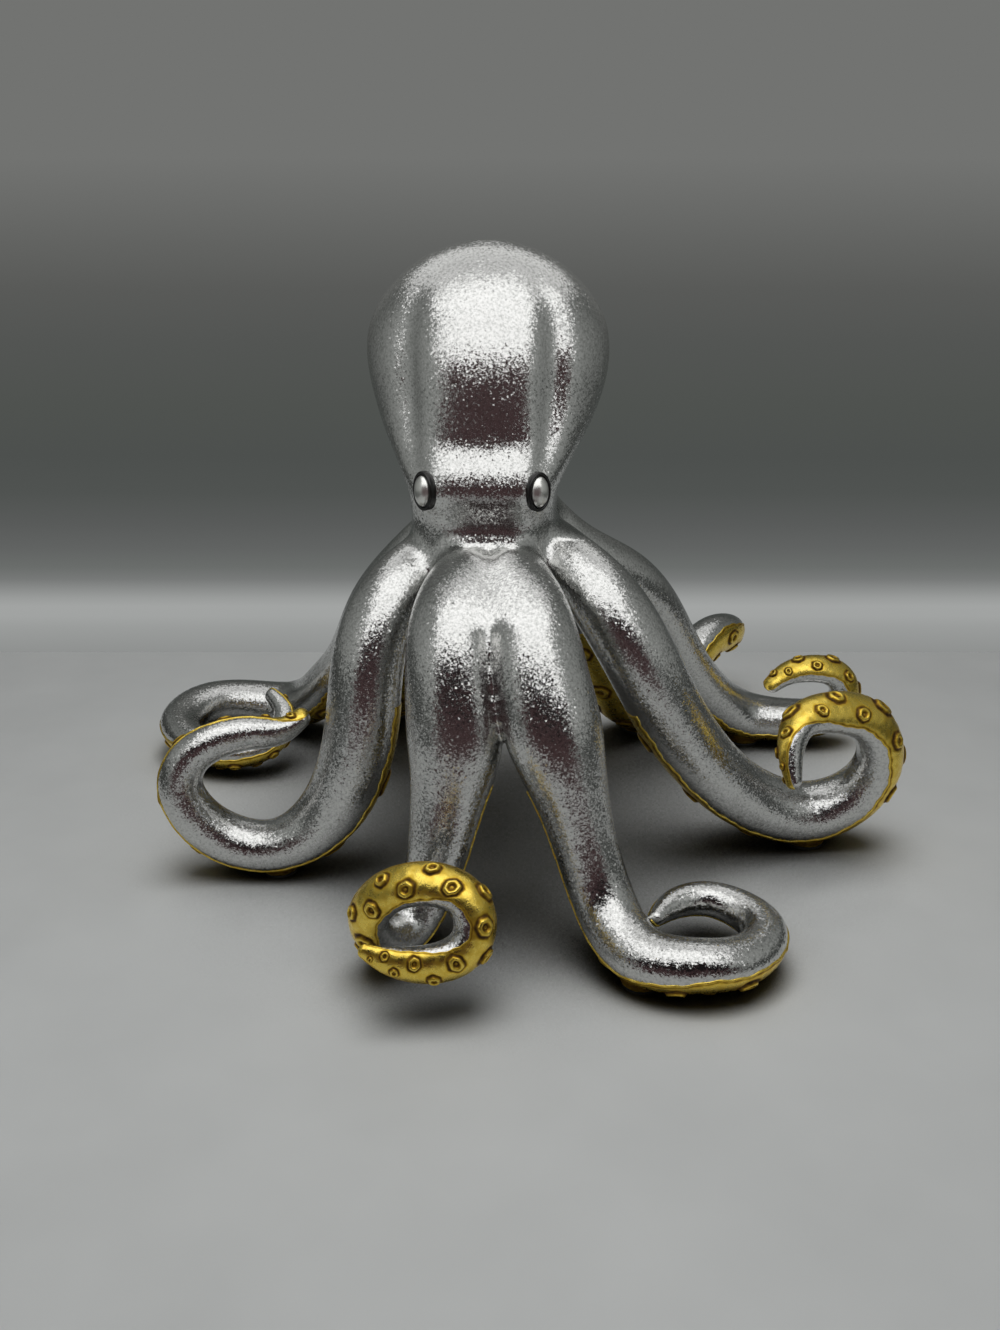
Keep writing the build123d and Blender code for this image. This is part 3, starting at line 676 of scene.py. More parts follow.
# where the normals are averaged: again from nothing to full; the leans are in degrees
SHADED_SIDE = (40.0, 28.0)
SHOULDER_LOW, SHOULDER_BACK, SHOULDER_LEAN = (97.0, 111.0), (-41.0, -53.0), 50.0
BAND_LOW, BAND_HIGH, BAND_FRONT = (112.5, 114.0), (120.0, 117.0), (-43.0, -41.5)
BAND_LEANS = (-5.0, 16.0)
SHADED_TURNS, SHADED_STEP = 1200, 0.9

x, y, z = whole.T
inside = fade(abs(x), *SHADED_SIDE) * (y < 0)
shoulder = inside * fade(z, *SHOULDER_LOW) * fade(y, *SHOULDER_BACK)
band = inside * fade(z, *BAND_LOW) * fade(z, *BAND_HIGH) * fade(y, *BAND_FRONT)
used, pull = patch_pull(np.maximum(shoulder, band), rows_of(skin_mesh.edges, "vertices", 2, int))
shoulder, band, patch = shoulder[used], band[used], normals[used]
for _ in range(SHADED_TURNS):
    patch += pull(patch) * SHADED_STEP * np.maximum(shoulder, band)[:, None]
patch = unit(patch)
low, high = np.sin(np.radians(BAND_LEANS))
lean = patch[:, 2]
lean = lean + (np.minimum(lean, math.sin(math.radians(SHOULDER_LEAN))) - lean) * shoulder
lean = lean + (np.clip(lean, low, high) - lean) * band
patch[:, :2] *= (np.sqrt(1 - lean ** 2) / np.hypot(patch[:, 0], patch[:, 1]).clip(0.01))[:, None]
patch[:, 2] = lean
normals[used] = unit(patch)

corners = [tuple(face.vertices) for face in skin_mesh.polygons]
middles = np.array([whole[list(corner)].mean(axis=0) for corner in corners])
near_arm, near_step = nearest_stations(middles)
belongs = np.full(len(corners), -1)
for k, name in enumerate(arm_names):
    arm, joint = arms[name], joints[k]
    ahead = (middles - arm["centre"][joint]) @ arm["along"][joint] > 0
    beyond = near_step > joint + NEAR_STATIONS
    beyond |= (near_step > joint - NEAR_STATIONS) & ahead
    belongs[(near_arm == k) & beyond] = k
print("faces of the body", int((belongs == -1).sum()))

# the side of the ornament that each arm lies on, told by the eighth row from its tip
OUTER_SIDE = [math.copysign(1, rows[-8][0]) for rows in ARM_SHARES.values()]


def round_and_along(points):
    """How far round its arm and how far along it each point lies."""
    near, step = nearest_stations(points)
    turn, travel = np.zeros(len(points)), np.zeros(len(points))
    for k, arm in enumerate(arms.values()):
        mine = near == k
        i = step[mine]
        offset = points[mine] - arm["centre"][i]
        turn[mine] = np.arctan2((offset * arm["width"][i]).sum(axis=1) * OUTER_SIDE[k],
                                -(offset * arm["face"][i]).sum(axis=1))
        travel[mine] = arm["travel"][i] + (offset * arm["along"][i]).sum(axis=1)
    return turn, travel


def skin_piece(name, mine):
    """A closed piece of the skin that keeps the normals of the whole."""
    kept = [corners[i] for i in np.flatnonzero(mine)]
    used = sorted({v for corner in kept for v in corner})
    place = {v: i for i, v in enumerate(used)}
    obj = make_object(name, whole[used], [[place[v] for v in corner] for corner in kept])
    turn, travel = round_and_along(whole[used])
    with editing(obj.data) as builder:
        rim = [edge for edge in builder.edges if edge.is_boundary]
        caps = bmesh.ops.holes_fill(builder, edges=rim, sides=0)["faces"] if rim else []
        for face in builder.faces:
            face.smooth = True
        for face in caps:
            face.smooth = False
    mesh = obj.data
    own = [normals[v] for v in used]
    flat = Vector((0, 0, 0))
    mesh.normals_split_custom_set([own[loop.vertex_index] if face.use_smooth else flat
                                   for face in mesh.polygons
                                   for loop in (mesh.loops[i] for i in face.loop_indices)])
    add_attribute(mesh, "round", turn)
    add_attribute(mesh, "along", travel)
    print(name, len(mesh.polygons), "faces,", len(caps), "caps")
    return obj


silver_pieces = [skin_piece("silver_body", belongs == -1)]
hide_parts("body")
for k, name in enumerate(arm_names):
    piece = skin_piece("silver_arm_" + name, belongs == k)
    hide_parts("arm_" + name)
    silver_pieces.append(piece)
for piece in silver_pieces:
    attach(piece, "root")
bpy.data.meshes.remove(skin_mesh)

# %% [markdown]
# ## The gold sucker faces
#
# The underside of each arm is a gold band with two staggered rows of suckers, each a raised
# ring with a hollow in it. Shade is painted into the gold in each hollow, round the foot of every
# ring, along the inside of the band's lip and round the flat spot over a pad. A band is drawn
# as a fine grid of points. Their height above the arm is worked out from the distance to the
# nearest sucker, and so is how much painted shade a point holds.

# %% One sucker face
SUCKER_HEIGHT = 0.9
SUCKER_RADIUS_SHARE = 0.35
SUCKER_SECOND_SHARE = 0.80
SUCKER_SIDE_SHARE = 0.42
SUCKER_PITCH_SHARE = 0.95
BAND_PROUD = 0.22        # how far the gold stands out from the silver skin
LIP_HEIGHT = 0.20
LIP_SPREAD = 0.045       # width of the lip, as a share of half the band
EDGE_FADE = 0.965        # where the band starts to thin out, as the same share
EDGE_DROP, EDGE_DROP_START = 0.25, 0.975
# painted shade along the inside of the band's lip
EDGE_SHADE, EDGE_SHADE_PLACE, EDGE_SHADE_SPREAD = 0.55, 0.9, 0.05
LUMP_HEIGHT = 0.035

# hand-made unevenness: lumps of the paint by their rate along and round the arm, each with its
# share of the seed, then waves of the band's edge and of the rings by height, rate and share
LUMPS = [(0.9, 1, 3.1, 1), (2.1, 3, 5.3, 0)]
EDGE_WAVES = [(0.035, 0.45, 1), (0.02, 1.3, 2)]
RING_WAVES = [(0.035, 6, 1), (0.03, 2, 3)]
BAND_COLUMNS = 72
BAND_PITCH_SHARE = 0.036
BAND_TIP_GAP = 0.2
BAND_TIP_LEANS = (22, 42, 60, 76)

# the hidden side of the band: across and deep, in half widths of the arm
BAND_BACK = [(0.45, 0.06), (0.0, 0.06), (-0.45, 0.06)]

# height of a sucker and the painted shade on it by distance from its middle, all as shares
SUCKER_PROFILE = [(0.0, 0.30), (0.10, 0.34), (0.20, 0.20), (0.34, 0.22), (0.46, 0.80), (0.54, 0.98),
                  (0.66, 1.04), (0.78, 0.96), (0.86, 0.84), (0.97, 0.25), (1.05, -0.10),
                  (1.16, -0.13), (1.36, 0.0)]
SHADE_PROFILE = [(0.0, 0.75), (0.12, 0.35), (0.26, 0.95), (0.42, 0.55), (0.54, 0.05), (0.78, 0.0),
                (0.90, 0.45), (1.02, 1.0), (1.18, 0.8), (1.42, 0.15), (1.7, 0.0)]
SUCKER_REACH = SUCKER_PROFILE[-1][0]
SUCKER_WINDOW = 2.2      # the part of the grid that a sucker is looked for in, in its radii
SUCKER_FULL_SIZE = 1.6   # a sucker of a smaller radius than this stands lower
SUCKER_LEAST_SHARE = 0.55
ARC_SHARE = 0.88         # an angle times the half width is a little more than the arc

# the flat spot over a pad, in radii of the foot: flat inside the first, free outside the second
PRESSED = (0.92, 1.12)
# painted shade round the edge of the flat spot over a pad
PAD_RIM_SHADE, PAD_RIM_SHADE_PLACE, PAD_RIM_SHADE_SPREAD = 0.8, 1.05, 0.07


def along_arm(arm, key, travel):
    """A value of the arm at other places along it."""
    values = arm[key]
    if values.ndim == 1:
        return np.interp(travel, arm["travel"], values)
    return np.stack([np.interp(travel, arm["travel"], values[:, k]) for k in range(3)], axis=1)


def sucker_places(arm, first, foot_place, foot_radius):
    """Travel, angle and radius of each sucker, in the places that the model has them."""
    places = []
    wanted, side = arm["radius"][first] * SUCKER_PITCH_SHARE, 1
    for i in range(first + 1, len(arm["centre"])):
        travelled = arm["travel"][i] - arm["travel"][first]
        if travelled < wanted:
            continue
        radius = arm["radius"][i]
        wanted = travelled + radius * SUCKER_PITCH_SHARE
        side = -side
        across = side * SUCKER_SIDE_SHARE
        depth = EDGE_SHARE + (FACE_SHARE - EDGE_SHARE) * math.sqrt(1 - across ** 2)
        place = arm["centre"][i] + (arm["width"][i] * across + arm["face"][i] * depth) * radius
        size = radius * SUCKER_RADIUS_SHARE * (1 if side > 0 else SUCKER_SECOND_SHARE)
        if np.linalg.norm(place[:2] - foot_place) > foot_radius + size:
            places.append((arm["travel"][i], math.asin(across), size))
    return places


def smooth_step(values, low, high):
    share = fade(values, low, high)
    return share * share * (3 - 2 * share)


def hump(values, place, spread):
    """A soft bump of height 1 at a place."""
    return np.exp(-((values - place) / spread) ** 2)


def waves(function, values, phase, rows):
    """1 with waves on it; each row is a height, a rate and a share of the phase."""
    total = 1
    for height, rate, share in rows:
        total = total + height * function(values * rate + phase * share)
    return total


def add_sucker(height, painted_shade, forth, aside, place, size):
    """Raises one sucker in a part of the grid; forth and aside are measured from its middle."""
    uneven = waves(np.cos, np.arctan2(forth, aside), place, RING_WAVES)
    distance = np.hypot(forth, aside) / size * uneven
    ring = np.interp(distance, *zip(*SUCKER_PROFILE)) * SUCKER_HEIGHT
    ring = ring * np.clip(size / SUCKER_FULL_SIZE, SUCKER_LEAST_SHARE, 1)
    height += np.where(distance < SUCKER_REACH, ring, 0)
    # painted shade: dark in the sucker's hollow and round the foot of its ring
    painted_shade[:] = np.maximum(painted_shade, np.interp(distance, *zip(*SHADE_PROFILE)))


def gold_band(name, seed):
    """The sucker face of an arm, closed along its inside."""
    arm = arms[name]
    joint = JOINT_ROW[name] * STEPS_PER_ROW
    first = joint - round(STUB_LEAD_SHARE * STEPS_PER_ROW)
    start, end = arm["travel"][first], arm["travel"][-1]
    mean_radius = np.interp(np.linspace(start, end, 50), arm["travel"], arm["radius"]).mean()
    travel = np.linspace(start, end, int((end - start) / (mean_radius * BAND_PITCH_SHARE)))
    radius = along_arm(arm, "radius", travel)
    centre = along_arm(arm, "centre", travel)
    forward = unit(along_arm(arm, "along", travel))
    width = unit(along_arm(arm, "width", travel))
    face = np.cross(width, forward)

    def section(side, depth):
        """Vectors in the sections of the arm."""
        return width[:, None] * side[..., None] + face[:, None] * depth[..., None]

    across = np.linspace(-1, 1, BAND_COLUMNS)
    share = abs(across)
    edge = math.acos(EDGE_SHARE / FACE_SHARE)
    angle = np.outer(waves(np.sin, travel, seed, EDGE_WAVES), across) * edge
    height = BAND_PROUD * (1 - smooth_step(share, EDGE_FADE, 1.0))
    height += LIP_HEIGHT * hump(share, 1.0, LIP_SPREAD)
    height -= EDGE_DROP * smooth_step(share, EDGE_DROP_START, 1.0)
    height = np.tile(height, (len(travel), 1))
    # painted shade along the inside of the lip at both edges of the band
    painted_shade = np.tile(EDGE_SHADE * hump(share, EDGE_SHADE_PLACE, EDGE_SHADE_SPREAD), (len(travel), 1))

    foot_place, foot_radius = feet[name]
    for place, lean, size in sucker_places(arm, first, foot_place, foot_radius):
        window = place - size * SUCKER_WINDOW, place + size * SUCKER_WINDOW
        rows = slice(*np.searchsorted(travel, window))
        forth = travel[rows][:, None] - place
        aside = (angle[rows] - lean) * radius[rows][:, None] * ARC_SHARE
        add_sucker(height[rows], painted_shade[rows], forth, aside, place, size)
    for rate, seed_share, turns, turn_seed_share in LUMPS:
        lumps = np.sin(travel * rate + seed * seed_share)[:, None]
        height += LUMP_HEIGHT * lumps * np.sin(turns * angle + seed * turn_seed_share)
    outward = unit(section(np.sin(angle) * FACE_SHARE, np.cos(angle)))
    points = section(np.sin(angle), np.cos(angle) * FACE_SHARE) * radius[:, None, None]
    points += centre[:, None] + outward * height[..., None]

    # where the arm stands on its pad, the band is pressed flat
    spread = np.linalg.norm(points[..., :2] - foot_place, axis=-1) / foot_radius
    rest = arm["travel"][rest_row(name) * STEPS_PER_ROW]
    under = (abs(travel - rest)[:, None] < foot_radius * 2) & (points[..., 2] < centre[:, None, 2])
    sink = np.where(under, 1 - smooth_step(spread, *PRESSED), 0)
    points[..., 2] = points[..., 2] * (1 - sink) + PAD_THICKNESS * sink
    # painted shade round the edge of the pressed flat spot
    pad_rim_shade = np.where(under, PAD_RIM_SHADE * hump(spread, PAD_RIM_SHADE_PLACE, PAD_RIM_SHADE_SPREAD), 0)
    painted_shade = np.maximum(painted_shade * (1 - sink), pad_rim_shade)

    back = [np.outer(radius, shares) for shares in np.array(BAND_BACK).T]
    rings = np.concatenate([points, centre[:, None] + section(*back)], axis=1)
    columns = rings.shape[1]
    tip, reach = arm["centre"][-1], radius[-1] * TIP_ROUNDING + BAND_TIP_GAP
    tip_rings = [tip + (rings[-1] - tip) * math.cos(lean) + arm["along"][-1] * reach * math.sin(lean)
                 for lean in np.radians(BAND_TIP_LEANS)]
    all_points = np.vstack([*rings, *tip_rings, tip + arm["along"][-1] * reach])
    faces = grid_faces(len(rings) + len(tip_rings), columns)
    faces.append(range(columns - 1, -1, -1))
    final = len(all_points) - 1
    for k in range(columns):
        faces.append((final - columns + k, final - columns + (k + 1) % columns, final))
    obj = make_object("gold_" + name, all_points, faces)
    painted_shades = np.zeros(len(all_points))
    painted_shades[:len(rings) * columns] = np.pad(painted_shade, ((0, 0), (0, len(BAND_BACK)))).ravel()
    add_attribute(obj.data, "painted_shade", painted_shades)
    round_off(obj.data)
    return obj


# %% All eight sucker faces
gold_pieces = []
for k, name in enumerate(arm_names):
    piece = gold_band(name, 1.7 * k + 0.4)
    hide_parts("suckers_" + name)
    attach(piece, "root")
    gold_pieces.append(piece)
    print(piece.name, len(piece.data.polygons), "faces")

# %% [markdown]
# ## The eyes
#
# An eye is a small polished dome in an oval ring of dark enamel. The dome reaches down into its
# socket, and the ring is a rounded band of even width round it.

# %% Eyes and their rings
EYE_WIDTH = 9.2
EYE_HEIGHT = 12.6
EYE_RIM = 1.1
EYE_RING_PROUD = 0.9
EYE_RING_SHOULDER = 0.35     # where the ring starts to round over, as a share of its height
EYE_DOME_PROUD = 2.8
EYE_DOME_FOOT = -0.5
EYE_DOME_LEAN = 84.0
EYE_DOME_RINGS = 15
EYE_SOCKET_DEPTH = 3.4
EYE_FIT = 0.1
EYE_LEVEL = 130.4
EYE_ANGLES = {-1: 33.0, 1: 39.5}
EYE_FACING = 42.0
EYE_COLUMNS = 64


def eye_place(sign):
    """Middle of an eye on the face, the direction it looks in and the one across it."""
    share = (EYE_LEVEL - NECK_HEIGHT) / HEAD_HEIGHT
    level = np.array([[np.interp(share, levels[:, 0], column) for column in levels.T]])
    middle = head_surface(level, np.radians([sign * EYE_ANGLES[sign]]))[0, 0]
    azimuth = math.radians(sign * EYE_FACING - HEAD_TURN)
    out = np.array([math.sin(azimuth), -math.cos(azimuth), 0])
    return middle, out, np.array([-out[1], out[0], 0])


def oval_ring(place, less_width, less_height, height):
    """A closed ring that many millimetres inside the outline of the eye, and out from the face."""
    middle, out, across = place
    turn = np.linspace(0, 2 * math.pi, EYE_COLUMNS, endpoint=False)
    x = np.cos(turn)[:, None] * (EYE_WIDTH / 2 - less_width)
    y = np.sin(turn)[:, None] * (EYE_HEIGHT / 2 - less_height)
    return middle + across * x + np.array([0, 0, 1]) * y + out * height


bottom = EYE_FIT - EYE_SOCKET_DEPTH
inner = EYE_RIM + EYE_FIT
eye_pieces, ring_pieces = [], []
for side, sign in (("left", -1), ("right", 1)):
    place = eye_place(sign)
    middle, out, _ = place
    rings = [oval_ring(place, inner, inner, height) for height in (bottom, EYE_DOME_FOOT)]
    for lean in np.radians(np.linspace(0, EYE_DOME_LEAN, EYE_DOME_RINGS)):
        less_width, less_height = (half - (half - inner) * math.cos(lean)
                                   for half in (EYE_WIDTH / 2, EYE_HEIGHT / 2))
        rings.append(oval_ring(place, less_width, less_height, EYE_DOME_PROUD * math.sin(lean)))
    eye = closed_object("silver_eye_" + side, rings, middle + out * bottom,
                        middle + out * EYE_DOME_PROUD)
    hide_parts("eye_" + side)
    eye_pieces.append(eye)

    rounded = EYE_RING_PROUD * EYE_RING_SHOULDER
    section = [(0.0, bottom), (0.0, rounded)]
    for lean in np.radians(np.linspace(15, 165, 11)):
        section.append((EYE_RIM / 2 * (1 - math.cos(lean)),
                        rounded + (EYE_RING_PROUD - rounded) * math.sin(lean)))
    section += [(EYE_RIM, rounded), (EYE_RIM, bottom)]
    rings = [oval_ring(place, less, less, height) for less, height in section]
    faces = grid_faces(len(rings), EYE_COLUMNS)
    last = (len(rings) - 1) * EYE_COLUMNS
    for k in range(EYE_COLUMNS):
        after = (k + 1) % EYE_COLUMNS
        faces.append((last + k, last + after, after, k))
    ring = make_object("ring_" + side, np.vstack(rings), faces)
    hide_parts("eye_ring_" + side)
    ring_pieces.append(ring)
for piece in eye_pieces + ring_pieces:
    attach(piece, "root")
    round_off(piece.data)
print(len(eye_pieces), "eyes and", len(ring_pieces), "rings")

# %% [markdown]
# ## Materials
#
# Colours are written as the hex values that a colour picker shows, and one function turns them
# into the linear values that Blender works with. Short functions add a node each and give its
# output, so each material reads as a list of steps. The plain colours of a material are for
# viewers that can't follow its nodes.

# %% Helpers for the materials
def colour(hex_value, alpha=1.0):
    """Linear colour of an sRGB hex value."""
    parts = [int(hex_value[i:i + 2], 16) / 255 for i in (1, 3, 5)]
    return (*[c / 12.92 if c <= 0.04045 else ((c + 0.055) / 1.055) ** 2.4 for c in parts], alpha)


def start_material(name, **settings):
    """A material, its node tree and its Principled shader, set as given."""
    material = bpy.data.materials.new(name)
    material.use_nodes = True
    shader = material.node_tree.nodes["Principled BSDF"]
    for socket, value in settings.items():
        shader.inputs[socket.replace("_", " ")].default_value = value
    return material, material.node_tree, shader


def add(tree, kind, settings=None, *sources, **links):
    """Adds a node, sets its properties or inputs, and links its inputs by order or by name."""
    node = tree.nodes.new(kind)
    for key, value in (settings or {}).items():
        if hasattr(node, key):
            setattr(node, key, value)
        else:
            node.inputs[key].default_value = value
    for i, source in enumerate(sources):
        tree.links.new(source, node.inputs[i])
    link(tree, node, **links)
    return node


def link(tree, node, **links):
    for key, source in links.items():
        tree.links.new(source, node.inputs[key.replace("_", " ")])


def object_place(tree):
    return add(tree, "ShaderNodeTexCoord").outputs["Object"]


def stored(tree, name):
    return add(tree, "ShaderNodeAttribute", {"attribute_name": name}).outputs["Fac"]


def noise(tree, vector, size, detail=2.0, roughness=0.55):
    """Fractal noise whose grains have the given size in millimetres."""
    settings = {"Scale": 1 / (size * MM), "Detail": detail, "Roughness": roughness}
    return add(tree, "ShaderNodeTexNoise", settings, Vector=vector).outputs["Fac"]


def maths(tree, operation, first, second=None, clamp=False):
    """One step of arithmetic; each side is a number or the output of a node."""
    node = add(tree, "ShaderNodeMath", {"operation": operation, "use_clamp": clamp})
    for socket, value in zip(node.inputs, (first, second)):
        if hasattr(value, "node"):
            tree.links.new(value, socket)
        elif value is not None:
            socket.default_value = value
    return node.outputs[0]


def vector_step(tree, operation, *sources, **links):
    return add(tree, "ShaderNodeVectorMath", {"operation": operation}, *sources, **links).outputs[0]


def ranged(tree, value, to_low, to_high, from_low=0.0, from_high=1.0):
    settings = {"From Min": from_low, "From Max": from_high, "To Min": to_low, "To Max": to_high}
    return add(tree, "ShaderNodeMapRange", settings, Value=value).outputs[0]


def ramp(tree, value, stops):
    """A ramp of colours; each stop is a place and a hex value."""
    node = add(tree, "ShaderNodeValToRGB", Fac=value)
    elements = node.color_ramp.elements
    while len(elements) < len(stops):
        elements.new(0.5)
    for element, (place, hex_value) in zip(elements, stops):
        element.position = place
        element.color = colour(hex_value)
    return node.outputs[0]


def bumps(tree, heights, strength, distance):
    """A surface that rises by the heights, over a distance in millimetres."""
    settings = {"Strength": strength, "Distance": distance * MM}
    return add(tree, "ShaderNodeBump", settings, Height=heights).outputs[0]


def wear(meshes, material):
    for mesh in meshes:
        mesh.materials.clear()
        mesh.materials.append(material)
    print(material.name, "on", len(meshes), "pieces")


def meshes_of(pieces):
    return [piece.data for piece in pieces]

# %% [markdown]
# ### Silver
#
# The silver is metal leaf, or a metallised coat, over cast resin. It is a true mirror in colour,
# so the metallic value is 1, but the casting under it is as gritty as fine sandpaper: the dark
# opening in front of the ornament is mirrored with sandy edges. Each grain of half a millimetre is
# a small facet with a tilt of its own, mostly of a few degrees and now and then of many, so the
# bright parts sparkle and the dark ones are peppered. Long streaks run along the arms where the
# mould was rubbed, and a fine double seam of the mould follows one shoulder of each arm.

# %% Silver leaf
GRIT_SIZE = 0.52
GRIT_TILT = 0.13
GRIT_SPARKLE = 0.75
SEAM_TURN = 0.98         # where the seam runs, in radians from the middle of an arm's back
SEAM_GAP = 0.035
SEAM_WIDTH = 0.022
SEAM_START = 12.0        # where it starts and ends along an arm, in millimetres
SEAM_END = 115.0
SEAM_START_RATE, SEAM_END_RATE = 0.1, 0.08
SEAM_HEIGHT = 3.2        # this height and the next two are shares of the coarse grain's
FINE_HEIGHT = 0.45
STREAK_HEIGHT = 0.25
STREAKS_ROUND, STREAKS_ALONG, STREAK_SCALE = 9.0, 0.16, 1.9

silver, tree, shader = start_material("silver leaf", Base_Color=colour("#CFCFCD"), Metallic=1.0,
                                      Roughness=0.24)
place = object_place(tree)
grain = noise(tree, place, 0.85, 3.0, 0.6)
round_arm, along_the_arm = stored(tree, "round"), stored(tree, "along")

# the heights: two grains, the streaks and the seam
streak_place = add(tree, "ShaderNodeCombineXYZ", None,
                   maths(tree, "MULTIPLY", round_arm, STREAKS_ROUND),
                   maths(tree, "MULTIPLY", along_the_arm, STREAKS_ALONG)).outputs[0]
streak = add(tree, "ShaderNodeTexNoise", {"Scale": STREAK_SCALE, "Detail": 2.0}, Vector=streak_place)
fine = noise(tree, place, 0.32, 1.0)
heights = maths(tree, "ADD", grain, maths(tree, "MULTIPLY", fine, FINE_HEIGHT))
streak = maths(tree, "MULTIPLY", streak.outputs["Fac"], STREAK_HEIGHT)
heights = maths(tree, "ADD", heights, streak)
seam = maths(tree, "ABSOLUTE", maths(tree, "SUBTRACT", round_arm, SEAM_TURN))
seam = maths(tree, "ABSOLUTE", maths(tree, "SUBTRACT", seam, SEAM_GAP))
seam = maths(tree, "SUBTRACT", 1.0, maths(tree, "DIVIDE", seam, SEAM_WIDTH), clamp=True)
started = maths(tree, "SUBTRACT", along_the_arm, SEAM_START)
started = maths(tree, "MULTIPLY", started, SEAM_START_RATE, clamp=True)
ended = maths(tree, "SUBTRACT", along_the_arm, SEAM_END)
ended = maths(tree, "MULTIPLY", ended, SEAM_END_RATE, clamp=True)
seam = maths(tree, "MULTIPLY", maths(tree, "MULTIPLY", seam, started),
             maths(tree, "SUBTRACT", 1.0, ended))
heights = maths(tree, "ADD", heights, maths(tree, "MULTIPLY", seam, SEAM_HEIGHT))

# the facets: every cell tilts the surface its own way, a few of them by much more
cells = add(tree, "ShaderNodeTexVoronoi", {"Scale": 1 / (GRIT_SIZE * MM)}, Vector=place)
half = add(tree, "ShaderNodeCombineXYZ", {"X": 0.5, "Y": 0.5, "Z": 0.5}).outputs[0]
tilt = vector_step(tree, "SUBTRACT", cells.outputs["Color"], half)
much = add(tree, "ShaderNodeVectorMath", {"operation": "LENGTH"}, tilt).outputs["Value"]
much = maths(tree, "MULTIPLY", maths(tree, "POWER", much, 4.0), GRIT_SPARKLE)
tilt = vector_step(tree, "SCALE", tilt, Scale=maths(tree, "ADD", much, GRIT_TILT))
facing = vector_step(tree, "ADD", bumps(tree, heights, 0.9, 0.085), tilt)
link(tree, shader, Normal=vector_step(tree, "NORMALIZE", facing),
     Roughness=ranged(tree, noise(tree, place, 9.0, 2.0), 0.12, 0.17, 0.3, 0.7),
     Base_Color=ramp(tree, grain, [(0.30, "#AEAFAC"), (0.52, "#CFCFCD"), (0.75, "#D8D8D6")]))
wear(meshes_of(silver_pieces), silver)

# %% [markdown]
# ### Gold, with painted shade
#
# The gold is a metallic paint. On the open band and on the rims of the suckers it is clean and
# bright. In the hollows, shade is painted in, and there the gold is dark, less metallic and dull.
# An attribute of the bands says how much painted shade each point holds.

# %% Gold paint with painted shade in its hollows
gold, tree, shader = start_material("gold paint", Base_Color=colour("#E8BE3C"), Metallic=1.0,
                                    Roughness=0.3)
place = object_place(tree)
blotch = noise(tree, place, 2.4, 4.0, 0.65)
# the painted shade of the hollows, with random blotches, darkens the gold, dulls it and makes it less
# metallic
spread = maths(tree, "MULTIPLY", maths(tree, "SUBTRACT", blotch, 0.47), 1.1)
spread = maths(tree, "ADD", stored(tree, "painted_shade"), spread, clamp=True)
heights = maths(tree, "ADD", noise(tree, place, 0.5, 2.0), blotch)
link(tree, shader, Normal=bumps(tree, heights, 0.5, 0.13),
     Roughness=ranged(tree, spread, 0.27, 0.62),
     Metallic=ranged(tree, spread, 1.0, 0.55),
     Base_Color=ramp(tree, spread, [(0.0, "#F4D664"), (0.28, "#E2BC3E"), (0.62, "#8F6A1A"),
                                    (1.0, "#3E2805")]))
wear(meshes_of(gold_pieces), gold)

# %% [markdown]
# ### Eyes, enamel, felt and dowels
#
# The domes of the eyes are the same silver, polished. The rings are black enamel, a smooth
# glossy paint. The pads are a pressed felt, rough and a little fuzzy, and the dowels in the
# joints are plain beech, which nobody sees.

# %% The small finishes
polished, tree, shader = start_material("polished silver", Base_Color=colour("#E4E4E0"), Metallic=1.0,
                                        Roughness=0.3)
link(tree, shader, Normal=bumps(tree, noise(tree, object_place(tree), 1.1, 2.0), 0.35, 0.04))
wear(meshes_of(eye_pieces), polished)

enamel, tree, shader = start_material("black enamel", Base_Color=colour("#0B0A09"), Roughness=0.28,
                                      IOR=1.52)
grain = noise(tree, object_place(tree), 0.8, 2.0)
link(tree, shader, Base_Color=ramp(tree, grain, [(0.35, "#060505"), (0.7, "#1C1916")]))
wear(meshes_of(ring_pieces), enamel)

felt, tree, shader = start_material("pressed felt", Roughness=0.92, Sheen_Weight=0.4,
                                    Sheen_Roughness=0.5, Sheen_Tint=colour("#6B6B6B"))
fibres = noise(tree, object_place(tree), 0.25, 5.0, 0.7)
link(tree, shader, Base_Color=ramp(tree, fibres, [(0.3, "#151515"), (0.7, "#3A3A38")]),
     Normal=bumps(tree, fibres, 0.8, 0.15))
wear([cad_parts["felt_pads"].data], felt)

beech, tree, shader = start_material("beech", Roughness=0.6, IOR=1.45)
stretched = add(tree, "ShaderNodeMapping", {"Scale": (1.0, 1.0, 0.12)}, Vector=object_place(tree))
fibre = noise(tree, stretched.outputs[0], 0.6, 3.0)
link(tree, shader, Base_Color=ramp(tree, fibre, [(0.35, "#A9794C"), (0.65, "#D9B386")]))
wear([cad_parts["dowels"].data], beech)

# %% [markdown]
# ## The table, the wall and the light
#
# The ornament stands in a small light box with a pale grey table, dark grey sides, a bright
# ceiling, and an opening in front for the camera. A mirror-like surface shows mostly what stands
# round it, so those walls give the silver its look. The room behind the opening is the dark
# patch on the forehead, between the eyes and on the upper side of each arm. The sides and that
# room are no lamps but cards that glow for reflections alone, and their glow is painted light:
# the sides are brighter towards the front and dark at their foot. The lamps that are mirrored and
# the lamp that lights the table are kept apart, so that each can be set alone. The wall is a
# sheet of card with a flat strip at its foot for its soft bend into the table, and from behind
# it is clear, so that the ornament shows from every side. Wall and strip glow as well, and that
# glow is painted light: the strip is brightest, and the wall is darker up to about 80 mm and
# lighter again above. Where pieces stand over the table, shade is painted into its colour and
# its sheen, by how much of the space round each point they hide.

# %% Table and wall
FLOOR_HEIGHT = -0.02
TABLE_FRONT = -290.0
WALL_DISTANCE = 303.0
WALL_HEIGHT = 900.0
BEND_START = 177.0
